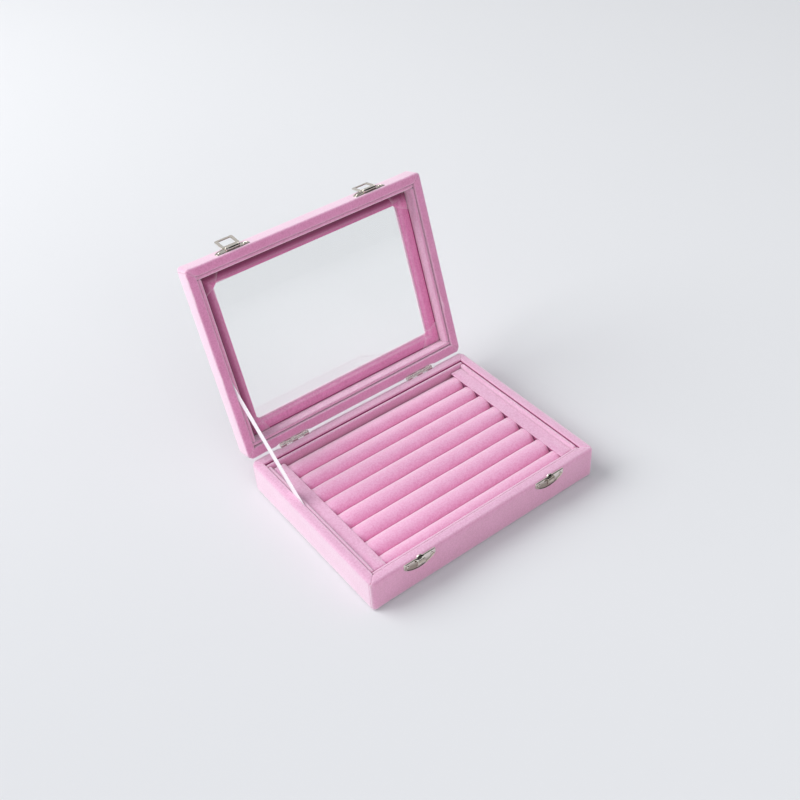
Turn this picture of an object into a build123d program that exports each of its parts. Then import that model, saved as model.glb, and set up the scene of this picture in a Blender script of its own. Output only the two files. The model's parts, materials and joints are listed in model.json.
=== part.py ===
from build123d import *
from math import cos, radians, sin
import os

# Ring display box: a velvet-wrapped tray with padded ring rolls and a window lid, shown open.
# Origin: centre of the underside. +X is the right side, +Y the hinged back, +Z up. Millimetres.

# Outer sizes
box_width = 200.0
box_depth = 150.0
base_height = 27.5
lid_height = 15.0
corner_radius = 2.5  # upright corners of the velvet cover
edge_round = 1.8  # outer edges of the velvet cover
rim_round = 1.1  # inner edge of the rims
window_lip_round = 0.5

# Walls and what wraps them
wall_board = 5.25
velvet = 0.75
corner_cut = 1.2  # chamfer on the wall boards' outer corners
sheet_thickness = 0.6
hem_width = 14.0  # velvet turned in under the base
sheet_inset = 4.0  # underside sheet, back from the box's edge
bottom_board_thickness = 3.0
tray_card_thickness = 1.0
board_clearance = 0.15

# Padded liner strips
liner_groove = 0.3
liner_thickness = 3.1
liner_round = 1.35
base_liner_drop = 1.7  # below the base's rim
lid_liner_drop = 1.5
liner_end_gap = 0.1

# End rails and ring rolls
rail_width = 10.65
rail_drop = 4.3  # below the base's rim
rail_round = 2.2
rail_corner = 2.4
rail_clearance = 0.2
roll_count = 8
front_roll_squeeze = 3.1  # how much narrower the front roll is pressed
roll_gap = 0.2
roll_drop = 5.3  # tops of the rolls, below the base's rim
roll_crown = 4.6  # from where two rolls meet up to their tops
roll_end_round = 2.2  # upright corners, where the ends draw in
roll_end_drop = 3.2  # top corners, where the ends fall away

# Window in the lid
top_board_thickness = 2.05
window_margin = 20.6  # box edge to the clear opening
window_lining = 0.6
glass_margin = 16.0
glass_thickness = 1.1
glass_clearance = 0.3
mat_thickness = 0.9
mat_margin = 18.8
mat_corner = 2.5
patch_thickness = 0.3
patch_reach = 17.0  # along each side, from the recess's corner
patch_nib = 0.7  # how far a patch stands into the opening

# Hinges, on the back faces
lid_open_angle = 106.6
rim_gap = 0.4
left_hinge_x = -61.5
right_hinge_x = 57.0
hinge_length = 25.0
hinge_barrel_radius = 1.5
hinge_bore_radius = 0.66
hinge_pin_radius = 0.6
hinge_leaf_thickness = 0.7
hinge_leaf_height = 10.5
hinge_leaf_clearance = 0.3
knuckle_count = 5
knuckle_gap = 0.15
hinge_nail_spread = 16.0
hinge_nail_drop = 6.9  # from the hinge axis

# Latches, on the front faces: placed by hand, so not quite mirror images
left_latch_x = -60.5
right_latch_x = 56.0
plate_width = 26.5
plate_depth = 9.8
plate_end = 4.6
plate_thickness = 0.6
plate_corner = 1.9
plate_tip_round = 0.4
catch_plate_drop = 0.7  # below the base's rim
latch_plate_rise = 1.9  # above the lid's rim
plate_nail_spread = 20.0
plate_nail_inset = 3.2  # from the plate's straight edge
tab_radius = 3.4
tab_sink = 0.9
tongue_width = 6.4
tongue_reach = 3.6
tongue_thickness = 0.7
tongue_drop = 0.6  # below the plate's straight edge
tongue_lip = 4.4
tongue_bend = 1.1
ear_offset = 5.0
ear_thickness = 0.8
ear_radius = 1.5
ear_bore_radius = 0.62
pivot_rise = 3.0  # above the lid's rim
pivot_reach = 2.0  # out from the front face
loop_width = 14.5
loop_length = 13.5  # pivot to tip
loop_thickness = 0.8
loop_start = 2.0
loop_neck_start = 0.95
loop_corner = 0.9
loop_hole_width = 9.5
loop_hole_start = 3.7
loop_hole_end = 11.4
loop_barrel_radius = 1.25
loop_bore_radius = 0.68
loop_side_gap = 0.2
hasp_pin_radius = 0.6
hasp_pin_head_radius = 1.0
hasp_pin_head = 0.5
left_hasp_angle = 162.0  # from hanging straight down, turning outward
right_hasp_angle = 175.0

# Nails
nail_head_radius = 1.15
nail_head_height = 0.7
nail_dome_round = 0.5
nail_shank_radius = 0.55
nail_hole_radius = 0.6
nail_length = 3.6

# Ribbon stay, in the groove behind the left liners
ribbon_width = 8.0
ribbon_thickness = 0.2
ribbon_exit = 22.5  # towards the hinges from the box's centre line
ribbon_base_tuck = 16.0
ribbon_lid_tuck = 10.0

# Sizes that follow
wall = velvet + wall_board + velvet
inner_width = box_width - 2 * wall
inner_depth = box_depth - 2 * wall
hem_bottom = sheet_thickness
wall_bottom = hem_bottom + velvet
board_top = wall_bottom + bottom_board_thickness
tray_floor = board_top + tray_card_thickness
liner_inset = wall + liner_groove + liner_thickness
tray_width = box_width - 2 * liner_inset
tray_depth = box_depth - 2 * liner_inset
rail_length = tray_depth - 2 * rail_clearance
rail_height = base_height - rail_drop - tray_floor
roll_shoulder = base_height - roll_drop - roll_crown - tray_floor
roll_pitch = (rail_length + front_roll_squeeze) / roll_count
roll_length = tray_width - 2 * rail_width - 4 * rail_clearance
top_board_top = lid_height - velvet
top_board_bottom = top_board_top - top_board_thickness
mat_face = top_board_bottom - mat_thickness
glass_outer = top_board_bottom + glass_thickness
front_y = -box_depth / 2
back_y = box_depth / 2
hinge_y = back_y + hinge_barrel_radius
hinge_z = base_height + rim_gap / 2

base_frame = Plane.XY


def plane_at(frame, x, y, z, x_dir, z_dir):
    """A plane through a point that is given in a frame's own coordinates."""
    return Plane(origin=frame.from_local_coords((x, y, z)), x_dir=x_dir, z_dir=z_dir)


def level(frame, z, x=0.0, y=0.0):
    """Parallel to the frame's floor, at a height."""
    return plane_at(frame, x, y, z, frame.x_dir, frame.z_dir)


def front_face(frame, x, z, out=0.0):
    """On the front face, looking back at the box: across is local x, up is local y."""
    return plane_at(frame, x, front_y - out, z, frame.x_dir, frame.y_dir * -1)


def back_face(frame, x, z, out=0.0):
    """On the back face, looking forward at the box: local x runs to the left, up is local y."""
    return plane_at(frame, x, back_y + out, z, frame.x_dir * -1, frame.y_dir)


def side_section(frame, x, y, z):
    """Across the box's width: local x runs back, local y runs up."""
    return plane_at(frame, x, y, z, frame.y_dir, frame.x_dir)


# The closed lid's frame turned back about the hinge axis: its origin is the centre of its rim
lid_tilt = radians(lid_open_angle)
hinge_frame = Plane(origin=(0, hinge_y, hinge_z), x_dir=(1, 0, 0), z_dir=(0, sin(lid_tilt), cos(lid_tilt)))
lid_frame = level(hinge_frame, rim_gap / 2, y=-hinge_y)

os.makedirs("parts", exist_ok=True)


def keep(piece, name):
    """Label a finished piece and write it."""
    piece.part.label = name
    export_step(piece.part, f"parts/{name}.step")


def up_axis(frame):
    return Axis(frame.origin, frame.z_dir)


def cut_corner_rectangle(width, depth):
    """Outline of a board whose four corners are chamfered under the velvet."""
    Rectangle(width, depth)
    chamfer(vertices(), corner_cut)


# Nails: positions as (x, z) on a face, shared by the nails and every hole they pass
def plate_nail_points(latch_x, z):
    return [(latch_x + side * plate_nail_spread / 2, z) for side in (-1, 1)]


def hinge_nail_points(hinge_x, z):
    return [(hinge_x + side * hinge_nail_spread / 2, z) for side in (-1, 1)]


catch_nail_z = base_height - catch_plate_drop - plate_nail_inset
latch_nail_z = latch_plate_rise + plate_nail_inset
base_hinge_nail_z = hinge_z - hinge_nail_drop
lid_hinge_nail_z = hinge_nail_drop - rim_gap / 2
catch_nails = [p for x in (left_latch_x, right_latch_x) for p in plate_nail_points(x, catch_nail_z)]
latch_nails = [p for x in (left_latch_x, right_latch_x) for p in plate_nail_points(x, latch_nail_z)]
base_hinge_nails = [p for x in (left_hinge_x, right_hinge_x) for p in hinge_nail_points(x, base_hinge_nail_z)]
lid_hinge_nails = [p for x in (left_hinge_x, right_hinge_x) for p in hinge_nail_points(x, lid_hinge_nail_z)]


def cut_nail_holes(frame, face, points):
    """Pilot holes through the velvet and into the board behind it."""
    for x, z in points:
        with BuildSketch(face(frame, x, z)) as hole:
            Circle(nail_hole_radius)
        extrude(hole.sketch, amount=-nail_length, mode=Mode.SUBTRACT)


def nails(frame, face, points, seat):
    """Dome-headed nails whose heads sit on a plate of the given thickness."""
    with BuildPart() as group:
        for x, z in points:
            with BuildSketch(face(frame, x, z, seat)):
                Circle(nail_head_radius)
            extrude(amount=nail_head_height)
            with BuildSketch(face(frame, x, z, seat)):
                Circle(nail_shank_radius)
            extrude(amount=-nail_length)
        outward = Axis(frame.origin, face(frame, 0, 0).z_dir)
        fillet(edges().group_by(outward)[-1], nail_dome_round)
    return group


# Wall boards of the base and of the lid
def wall_boards(frame, prefix, bottom, top, front_nails, back_nails):
    board_width = box_width - 2 * velvet
    board_y = box_depth / 2 - velvet - wall_board / 2
    board_x = box_width / 2 - velvet - wall_board / 2
    side_length = box_depth - 2 * velvet - 2 * wall_board
    for name, side, face, points in (
        ("front", -1, front_face, front_nails),
        ("back", 1, back_face, back_nails),
    ):
        with BuildPart() as board:
            with BuildSketch(level(frame, bottom)):
                with Locations((0, side * board_y)):
                    Rectangle(board_width, wall_board)
                outer = vertices().group_by(Axis.Y)[0 if side < 0 else -1]
                chamfer(outer, corner_cut)
            extrude(amount=top - bottom)
            cut_nail_holes(frame, face, points)
        keep(board, f"{prefix}_{name}_wall")
    for name, side in (("left", -1), ("right", 1)):
        with BuildPart() as board:
            with BuildSketch(level(frame, bottom)):
                with Locations((side * board_x, 0)):
                    Rectangle(wall_board, side_length)
            extrude(amount=top - bottom)
        keep(board, f"{prefix}_{name}_wall")


def cover_blank(frame, bottom, top, rim, recess_end):
    """Outer form of a velvet cover: rounded edges, and a recess open at the rim."""
    with BuildSketch(level(frame, bottom)) as outline:
        RectangleRounded(box_width, box_depth, corner_radius)
    extrude(outline.sketch, amount=top - bottom)
    fillet(edges().group_by(up_axis(frame))[-1] + edges().group_by(up_axis(frame))[0], edge_round)
    with BuildSketch(level(frame, rim)) as recess:
        Rectangle(inner_width, inner_depth)
    extrude(recess.sketch, amount=recess_end - rim, mode=Mode.SUBTRACT)
    rim_face = faces().sort_by(up_axis(frame))[-1 if rim > recess_end else 0]
    fillet(rim_face.inner_wires()[0].edges(), rim_round)


def cut_block(frame, bottom, top, width, depth):
    with BuildSketch(level(frame, bottom)) as block:
        Rectangle(width, depth)
    extrude(block.sketch, amount=top - bottom, mode=Mode.SUBTRACT)


def cut_ring(frame, bottom, top, width, depth):
    """Room for boards: the cut-corner outline, less what a rectangle of the given size keeps."""
    with BuildSketch(level(frame, bottom)) as ring:
        cut_corner_rectangle(box_width - 2 * velvet, box_depth - 2 * velvet)
        Rectangle(width, depth, mode=Mode.SUBTRACT)
    extrude(ring.sketch, amount=top - bottom, mode=Mode.SUBTRACT)


def liner_strips(frame, prefix, low, high):
    """Four padded strips inside the walls: front and back run through, the sides fit between."""
    x_centre = inner_width / 2 - liner_groove - liner_thickness / 2
    y_centre = inner_depth / 2 - liner_groove - liner_thickness / 2
    through_length = inner_width - 2 * liner_groove
    between_length = inner_depth - 2 * (liner_groove + liner_thickness + liner_end_gap)
    for name, x, y, width, depth in (
        ("front", 0, -y_centre, through_length, liner_thickness),
        ("back", 0, y_centre, through_length, liner_thickness),
        ("left", -x_centre, 0, liner_thickness, between_length),
        ("right", x_centre, 0, liner_thickness, between_length),
    ):
        free_edge = -1 if prefix == "base" else 0
        with BuildPart() as strip:
            with BuildSketch(level(frame, low)):
                with Locations((x, y)):
                    Rectangle(width, depth)
            extrude(amount=high - low)
            long_way = frame.x_dir if width > depth else frame.y_dir
            along = edges().filter_by(Axis(frame.origin, long_way))
            fillet(along.group_by(up_axis(frame))[free_edge], liner_round)
        keep(strip, f"{prefix}_liner_{name}")


# Base: cover, boards, sheet and card
with BuildPart() as base_velvet_cover:
    cover_blank(base_frame, hem_bottom, base_height, base_height, board_top)
    cut_ring(base_frame, wall_bottom, base_height - velvet, inner_width + 2 * velvet, inner_depth + 2 * velvet)
    cut_block(base_frame, wall_bottom, board_top, inner_width + 2 * velvet, inner_depth + 2 * velvet)
    cut_block(base_frame, hem_bottom, wall_bottom, box_width - 2 * hem_width, box_depth - 2 * hem_width)
    cut_nail_holes(base_frame, front_face, catch_nails)
    cut_nail_holes(base_frame, back_face, base_hinge_nails)
keep(base_velvet_cover, "base_velvet_cover")

wall_boards(base_frame, "base", wall_bottom, base_height - velvet, catch_nails, base_hinge_nails)

with BuildPart() as base_bottom_board:
    with BuildSketch(level(base_frame, wall_bottom)):
        Rectangle(inner_width + 2 * velvet - 2 * board_clearance, inner_depth + 2 * velvet - 2 * board_clearance)
    extrude(amount=bottom_board_thickness)
keep(base_bottom_board, "base_bottom_board")

with BuildPart() as base_underside_sheet:
    with BuildSketch(level(base_frame, 0)):
        RectangleRounded(box_width - 2 * sheet_inset, box_depth - 2 * sheet_inset, corner_radius)
    extrude(amount=sheet_thickness)
keep(base_underside_sheet, "base_underside_sheet")

with BuildPart() as tray_card:
    with BuildSketch(level(base_frame, board_top)):
        Rectangle(inner_width - 2 * board_clearance, inner_depth - 2 * board_clearance)
    extrude(amount=tray_card_thickness)
keep(tray_card, "tray_card")

liner_strips(base_frame, "base", tray_floor, base_height - base_liner_drop)

# End rails, left and right of the rolls
for rail_name, rail_side in (("left", -1), ("right", 1)):
    rail_x = rail_side * (tray_width / 2 - rail_clearance - rail_width / 2)
    with BuildPart() as end_rail:
        with BuildSketch(level(base_frame, tray_floor)):
            with Locations((rail_x, 0)):
                RectangleRounded(rail_width, rail_length, rail_corner)
        extrude(amount=rail_height)
        fillet(edges().group_by(Axis.Z)[-1], rail_round)
    keep(end_rail, f"end_rail_{rail_name}")

# Ring rolls, numbered from the back: a crowned pad with ends that draw in
for roll_number in range(1, roll_count + 1):
    squeezed = front_roll_squeeze if roll_number == roll_count else 0.0
    roll_width = roll_pitch - roll_gap - squeezed
    roll_y = rail_length / 2 - (roll_number - 0.5) * roll_pitch + squeezed / 2
    with BuildPart() as ring_roll:
        with BuildSketch(level(base_frame, tray_floor, y=roll_y)):
            RectangleRounded(roll_length, roll_width, roll_end_round)
        extrude(amount=roll_shoulder + roll_crown)
        with BuildSketch(side_section(base_frame, -roll_length / 2, roll_y, tray_floor)):
            with BuildLine():
                half = roll_width / 2
                Polyline((-half, roll_shoulder), (-half, 0), (half, 0), (half, roll_shoulder))
                ThreePointArc((half, roll_shoulder), (0, roll_shoulder + roll_crown), (-half, roll_shoulder))
            make_face()
        extrude(amount=roll_length, mode=Mode.INTERSECT)
        with BuildSketch(plane_at(base_frame, 0, roll_y + half, tray_floor, base_frame.x_dir, -base_frame.y_dir)):
            Rectangle(roll_length, roll_shoulder + roll_crown, align=(Align.CENTER, Align.MIN))
            fillet(vertices().group_by(Axis.Y)[-1], roll_end_drop)
        extrude(amount=roll_width, mode=Mode.INTERSECT)
    keep(ring_roll, f"ring_roll_{roll_number}")

# Lid: cover, boards, glass and mat
with BuildPart() as lid_velvet_cover:
    cover_blank(lid_frame, 0, lid_height, 0, top_board_bottom)
    cut_ring(lid_frame, velvet, top_board_bottom, inner_width + 2 * velvet, inner_depth + 2 * velvet)
    lining_width = box_width - 2 * (window_margin - window_lining)
    lining_depth = box_depth - 2 * (window_margin - window_lining)
    cut_ring(lid_frame, top_board_bottom, top_board_top, lining_width, lining_depth)
    cut_block(lid_frame, top_board_bottom, glass_outer, lining_width, lining_depth)
    cut_block(lid_frame, glass_outer, lid_height, box_width - 2 * window_margin, box_depth - 2 * window_margin)
    window_face = faces().sort_by(up_axis(lid_frame))[-1]
    fillet(window_face.inner_wires()[0].edges(), window_lip_round)
    cut_nail_holes(lid_frame, front_face, latch_nails)
    cut_nail_holes(lid_frame, back_face, lid_hinge_nails)
keep(lid_velvet_cover, "lid_velvet_cover")

wall_boards(lid_frame, "lid", velvet, top_board_bottom, latch_nails, lid_hinge_nails)

with BuildPart() as lid_top_board:
    with BuildSketch(level(lid_frame, top_board_bottom)):
        cut_corner_rectangle(box_width - 2 * velvet, box_depth - 2 * velvet)
        Rectangle(lining_width, lining_depth, mode=Mode.SUBTRACT)
    extrude(amount=top_board_thickness)
    rebate_margin = glass_margin - glass_clearance
    cut_block(
        lid_frame, top_board_bottom, glass_outer, box_width - 2 * rebate_margin, box_depth - 2 * rebate_margin
    )
keep(lid_top_board, "lid_top_board")

with BuildPart() as glass_pane:
    with BuildSketch(level(lid_frame, top_board_bottom)):
        Rectangle(box_width - 2 * glass_margin, box_depth - 2 * glass_margin)
    extrude(amount=glass_thickness)
keep(glass_pane, "glass_pane")

with BuildPart() as window_mat:
    with BuildSketch(level(lid_frame, mat_face)):
        Rectangle(inner_width - 2 * board_clearance, inner_depth - 2 * board_clearance)
        RectangleRounded(
            box_width - 2 * mat_margin, box_depth - 2 * mat_margin, mat_corner, mode=Mode.SUBTRACT
        )
    extrude(amount=mat_thickness)
keep(window_mat, "window_mat")

# Velvet patches folded over the mat's corners, each with two nibs into the opening
with BuildPart() as mat_corner_patches:
    with BuildSketch(level(lid_frame, mat_face - patch_thickness)):
        for side_x in (-1, 1):
            for side_y in (-1, 1):
                inset = liner_inset + board_clearance
                nib = mat_margin + patch_nib
                corner = [
                    (inset, inset),
                    (inset + patch_reach, inset),
                    (nib + mat_corner, nib),
                    (nib, nib + mat_corner),
                    (inset, inset + patch_reach),
                ]
                outline = [(side_x * (box_width / 2 - a), side_y * (box_depth / 2 - b)) for a, b in corner]
                Polygon(*outline, align=None)
    extrude(amount=patch_thickness)
keep(mat_corner_patches, "mat_corner_patches")

liner_strips(lid_frame, "lid", lid_liner_drop, mat_face)


# Hinges: five knuckles on one pin, three on the base leaf and two on the lid leaf
def hinge_leaf(frame, hinge_x, axis_z, up, knuckles):
    """A leaf on the back face. up is 1 where it lies above the axis, -1 below."""
    knuckle_length = hinge_length / knuckle_count
    free = hinge_barrel_radius + hinge_leaf_clearance
    with BuildPart() as leaf:
        with BuildSketch(back_face(frame, hinge_x, axis_z)):
            with Locations((0, up * (free + hinge_leaf_height) / 2)):
                Rectangle(hinge_length, hinge_leaf_height - free)
            for side in (-1, 1):
                with Locations((side * hinge_nail_spread / 2, up * hinge_nail_drop)):
                    Circle(nail_hole_radius, mode=Mode.SUBTRACT)
        extrude(amount=hinge_leaf_thickness)
        far_edge = edges().filter_by(Axis(frame.origin, frame.y_dir)).group_by(up_axis(frame))
        fillet(far_edge[-1 if up > 0 else 0], plate_tip_round)
        for number in knuckles:
            start = hinge_x - hinge_length / 2 + number * knuckle_length + knuckle_gap / 2
            with BuildSketch(side_section(frame, start, back_y + hinge_barrel_radius, axis_z)):
                Circle(hinge_barrel_radius)
                with Locations((-hinge_barrel_radius + hinge_leaf_thickness / 2, up * (free + 0.1) / 2)):
                    Rectangle(hinge_leaf_thickness, free + 0.1)
                Circle(hinge_bore_radius, mode=Mode.SUBTRACT)
            extrude(amount=knuckle_length - knuckle_gap)
    return leaf


for side_name, side_hinge_x in (("left", left_hinge_x), ("right", right_hinge_x)):
    base_leaf = hinge_leaf(base_frame, side_hinge_x, hinge_z, -1, (0, 2, 4))
    keep(base_leaf, f"hinge_base_leaf_{side_name}")
    lid_leaf = hinge_leaf(lid_frame, side_hinge_x, -rim_gap / 2, 1, (1, 3))
    keep(lid_leaf, f"hinge_lid_leaf_{side_name}")
    with BuildPart() as hinge_pin:
        with BuildSketch(side_section(base_frame, side_hinge_x - hinge_length / 2, hinge_y, hinge_z)):
            Circle(hinge_pin_radius)
        extrude(amount=hinge_length)
    keep(hinge_pin, f"hinge_pin_{side_name}")

keep(nails(base_frame, back_face, base_hinge_nails, hinge_leaf_thickness), "hinge_base_nails")
keep(nails(lid_frame, back_face, lid_hinge_nails, hinge_leaf_thickness), "hinge_lid_nails")


# Latches
def crescent_plate(way):
    """Outline with a straight edge on the local x axis and its belly towards way, -1 down or 1 up."""
    half = plate_width / 2
    with BuildLine() as crescent:
        Polyline((-half, way * plate_end), (-half, 0), (half, 0), (half, way * plate_end))
        ThreePointArc((half, way * plate_end), (0, way * plate_depth), (-half, way * plate_end))
    make_face(crescent.edges())
    fillet(vertices().group_by(Axis.Y)[1 if way > 0 else 0], plate_corner)
    for side in (-1, 1):
        with Locations((side * plate_nail_spread / 2, way * plate_nail_inset)):
            Circle(nail_hole_radius, mode=Mode.SUBTRACT)


def catch_plate(latch_x):
    """Base half: crescent plate, half-round tab over its straight edge, and a tongue bent down."""
    edge_z = base_height - catch_plate_drop
    with BuildPart() as plate:
        with BuildSketch(front_face(base_frame, latch_x, edge_z)):
            crescent_plate(-1)
            with Locations((0, -tab_sink)):
                Circle(tab_radius)
        extrude(amount=plate_thickness)
        tongue_start = latch_x - tongue_width / 2
        with BuildSketch(side_section(base_frame, tongue_start, front_y, edge_z - tongue_drop)):
            tip = -(plate_thickness + tongue_reach)
            Rectangle(-tip, tongue_thickness, align=(Align.MAX, Align.MAX))
            with Locations((tip, 0)):
                Rectangle(tongue_thickness, tongue_lip, align=(Align.MIN, Align.MAX))
            fillet(vertices().group_by(Axis.X)[0].sort_by(Axis.Y)[-1], tongue_bend)
        extrude(amount=tongue_width)
    return plate


def latch_plate(latch_x):
    """Lid half: crescent plate with two ears that hold the loop's pin."""
    with BuildPart() as plate:
        with BuildSketch(front_face(lid_frame, latch_x, latch_plate_rise)):
            crescent_plate(1)
        extrude(amount=plate_thickness)
        for side in (-1, 1):
            ear_start = latch_x + side * ear_offset - ear_thickness / 2
            with BuildSketch(side_section(lid_frame, ear_start, front_y, pivot_rise)):
                with Locations((-pivot_reach, 0)):
                    Circle(ear_radius)
                Rectangle(pivot_reach, ear_radius, align=(Align.MAX, Align.MIN))
                with Locations((-pivot_reach, 0)):
                    Circle(ear_bore_radius, mode=Mode.SUBTRACT)
            extrude(amount=ear_thickness)
    return plate


def hasp_loop(latch_x, angle):
    """Square loop with a rolled barrel, turned to its angle from hanging straight down."""
    turn = radians(angle)
    tip_dir = lid_frame.z_dir * -cos(turn) + lid_frame.y_dir * -sin(turn)
    pivot = lid_frame.from_local_coords((latch_x, front_y - pivot_reach, pivot_rise))
    flat = Plane(origin=pivot, x_dir=lid_frame.x_dir, z_dir=lid_frame.x_dir.cross(tip_dir))
    neck_width = 2 * ear_offset - ear_thickness - 2 * loop_side_gap
    with BuildPart() as loop:
        with BuildSketch(flat.offset(-loop_thickness / 2)):
            with Locations((0, (loop_start + loop_length) / 2)):
                RectangleRounded(loop_width, loop_length - loop_start, loop_corner)
            with Locations((0, (loop_neck_start + loop_hole_start) / 2)):
                Rectangle(neck_width, loop_hole_start - loop_neck_start)
            with Locations((0, (loop_hole_start + loop_hole_end) / 2)):
                RectangleRounded(
                    loop_hole_width, loop_hole_end - loop_hole_start, loop_corner, mode=Mode.SUBTRACT
                )
        extrude(amount=loop_thickness)
        barrel_start = latch_x - neck_width / 2
        with BuildSketch(side_section(lid_frame, barrel_start, front_y - pivot_reach, pivot_rise)):
            Circle(loop_barrel_radius)
            Circle(loop_bore_radius, mode=Mode.SUBTRACT)
        extrude(amount=neck_width)
    return loop


def hasp_pin(latch_x):
    """Pin through the ears and the barrel, with a flat head at each end."""
    reach = ear_offset + ear_thickness / 2
    with BuildPart() as pin:
        for start, length, radius in (
            (-reach, 2 * reach, hasp_pin_radius),
            (-reach - hasp_pin_head, hasp_pin_head, hasp_pin_head_radius),
            (reach, hasp_pin_head, hasp_pin_head_radius),
        ):
            with BuildSketch(side_section(lid_frame, latch_x + start, front_y - pivot_reach, pivot_rise)):
                Circle(radius)
            extrude(amount=length)
    return pin


for side_name, latch_x, hasp_angle in (
    ("left", left_latch_x, left_hasp_angle),
    ("right", right_latch_x, right_hasp_angle),
):
    keep(catch_plate(latch_x), f"catch_plate_{side_name}")
    keep(latch_plate(latch_x), f"latch_plate_{side_name}")
    keep(hasp_loop(latch_x, hasp_angle), f"hasp_loop_{side_name}")
    keep(hasp_pin(latch_x), f"hasp_pin_{side_name}")

keep(nails(base_frame, front_face, catch_nails, plate_thickness), "catch_plate_nails")
keep(nails(lid_frame, front_face, latch_nails, plate_thickness), "latch_plate_nails")

# Ribbon stay: pulled straight between the two grooves, with a tucked end glued in each
groove_x = -(inner_width / 2 - (liner_groove - ribbon_thickness) / 2)
base_exit = Vector(groove_x, ribbon_exit, base_height)
lid_exit = lid_frame.from_local_coords((groove_x, ribbon_exit, 0))
pull = (lid_exit - base_exit).normalized()
ribbon_start = base_exit - pull * ribbon_base_tuck
ribbon_length = (lid_exit - base_exit).length + ribbon_base_tuck + ribbon_lid_tuck
with BuildPart() as ribbon_stay:
    with BuildSketch(Plane(origin=ribbon_start, x_dir=pull, z_dir=(1, 0, 0))):
        Rectangle(ribbon_length, ribbon_width, align=(Align.MIN, Align.CENTER))
    extrude(amount=ribbon_thickness)
keep(ribbon_stay, "ribbon_stay")
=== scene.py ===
"""Ring display box: the velvet, padding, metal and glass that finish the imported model.

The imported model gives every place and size. Each piece is drawn in millimetres in the frame of the
half that it belongs to: the base's own frame, or the lid's frame with the lid shut and its rim at
height 0. The half's matrix then takes it to where it stands in the open box.
"""

import json
from math import acos, asin, atan2, cos, degrees, pi, radians, sin, sqrt

import bmesh
import bpy
import numpy as np
from bpy.props import FloatProperty, FloatVectorProperty, IntProperty, PointerProperty
from mathutils import Matrix, Vector, noise


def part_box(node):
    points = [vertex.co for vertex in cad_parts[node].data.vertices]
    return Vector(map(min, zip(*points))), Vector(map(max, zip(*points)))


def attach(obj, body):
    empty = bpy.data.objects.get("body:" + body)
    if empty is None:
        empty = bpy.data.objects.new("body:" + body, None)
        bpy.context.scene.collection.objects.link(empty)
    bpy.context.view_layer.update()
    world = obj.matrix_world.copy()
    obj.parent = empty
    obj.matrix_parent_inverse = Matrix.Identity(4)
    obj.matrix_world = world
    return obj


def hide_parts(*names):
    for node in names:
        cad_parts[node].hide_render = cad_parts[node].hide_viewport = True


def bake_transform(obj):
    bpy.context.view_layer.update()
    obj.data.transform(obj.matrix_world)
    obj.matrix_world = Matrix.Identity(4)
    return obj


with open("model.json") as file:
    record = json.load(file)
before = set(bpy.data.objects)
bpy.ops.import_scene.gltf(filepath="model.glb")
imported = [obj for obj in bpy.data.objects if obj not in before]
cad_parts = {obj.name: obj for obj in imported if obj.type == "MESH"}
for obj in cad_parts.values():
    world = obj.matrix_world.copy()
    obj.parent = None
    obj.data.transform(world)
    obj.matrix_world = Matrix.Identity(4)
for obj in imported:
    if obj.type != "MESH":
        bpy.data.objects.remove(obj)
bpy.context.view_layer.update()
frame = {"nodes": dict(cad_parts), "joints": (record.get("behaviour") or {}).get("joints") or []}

bl_info = {
    "name": "Ring Display Box",
    "version": (1, 0, 0),
    "blender": (4, 5, 0),
    "location": "3D View > Sidebar > Ring Box",
    "description": "Finishes the packed ring display box: velvet, padded rolls, nickel and glass",
    "category": "Object",
}

MM = 0.001


def linear(hex_colour):
    """An sRGB hex colour as linear red, green and blue."""
    channels = [int(hex_colour[i : i + 2], 16) / 255 for i in (0, 2, 4)]
    return tuple(c / 12.92 if c <= 0.04045 else ((c + 0.055) / 1.055) ** 2.4 for c in channels)


# The two halves' own frames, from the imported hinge
hinge = next(joint for joint in frame["joints"] if joint["name"] == "lid_hinge")
hinge_point = Vector(hinge["pos_m"])
base_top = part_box("base_velvet_cover")[1].z
lid_turn = Matrix.Rotation(-radians(hinge["range_deg"][1]), 4, Vector(hinge["axis"]))
lid_rim_height = 2 * hinge_point.z - base_top
in_millimetres = Matrix.Scale(MM, 4)
base_place = in_millimetres
lid_place = (
    Matrix.Translation(hinge_point)
    @ lid_turn
    @ Matrix.Translation(-hinge_point)
    @ Matrix.Translation((0, 0, lid_rim_height))
    @ in_millimetres
)


def own_box(node, place):
    """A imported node's lowest and highest corner in its half's own frame, in millimetres."""
    back = place.inverted()
    points = np.array([back @ v.co for v in frame["nodes"][node].data.vertices])
    return Vector(points.min(0)), Vector(points.max(0))


base_low, base_high = own_box("base_velvet_cover", base_place)
lid_low, lid_high = own_box("lid_velvet_cover", lid_place)
mat_low, mat_high = own_box("window_mat", lid_place)
glass_low, glass_high = own_box("glass_pane", lid_place)
half_width = base_high.x
half_depth = base_high.y
lid_height = lid_high.z
wall_width = half_width - own_box("base_liner_back", base_place)[1].x - 0.3


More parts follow.
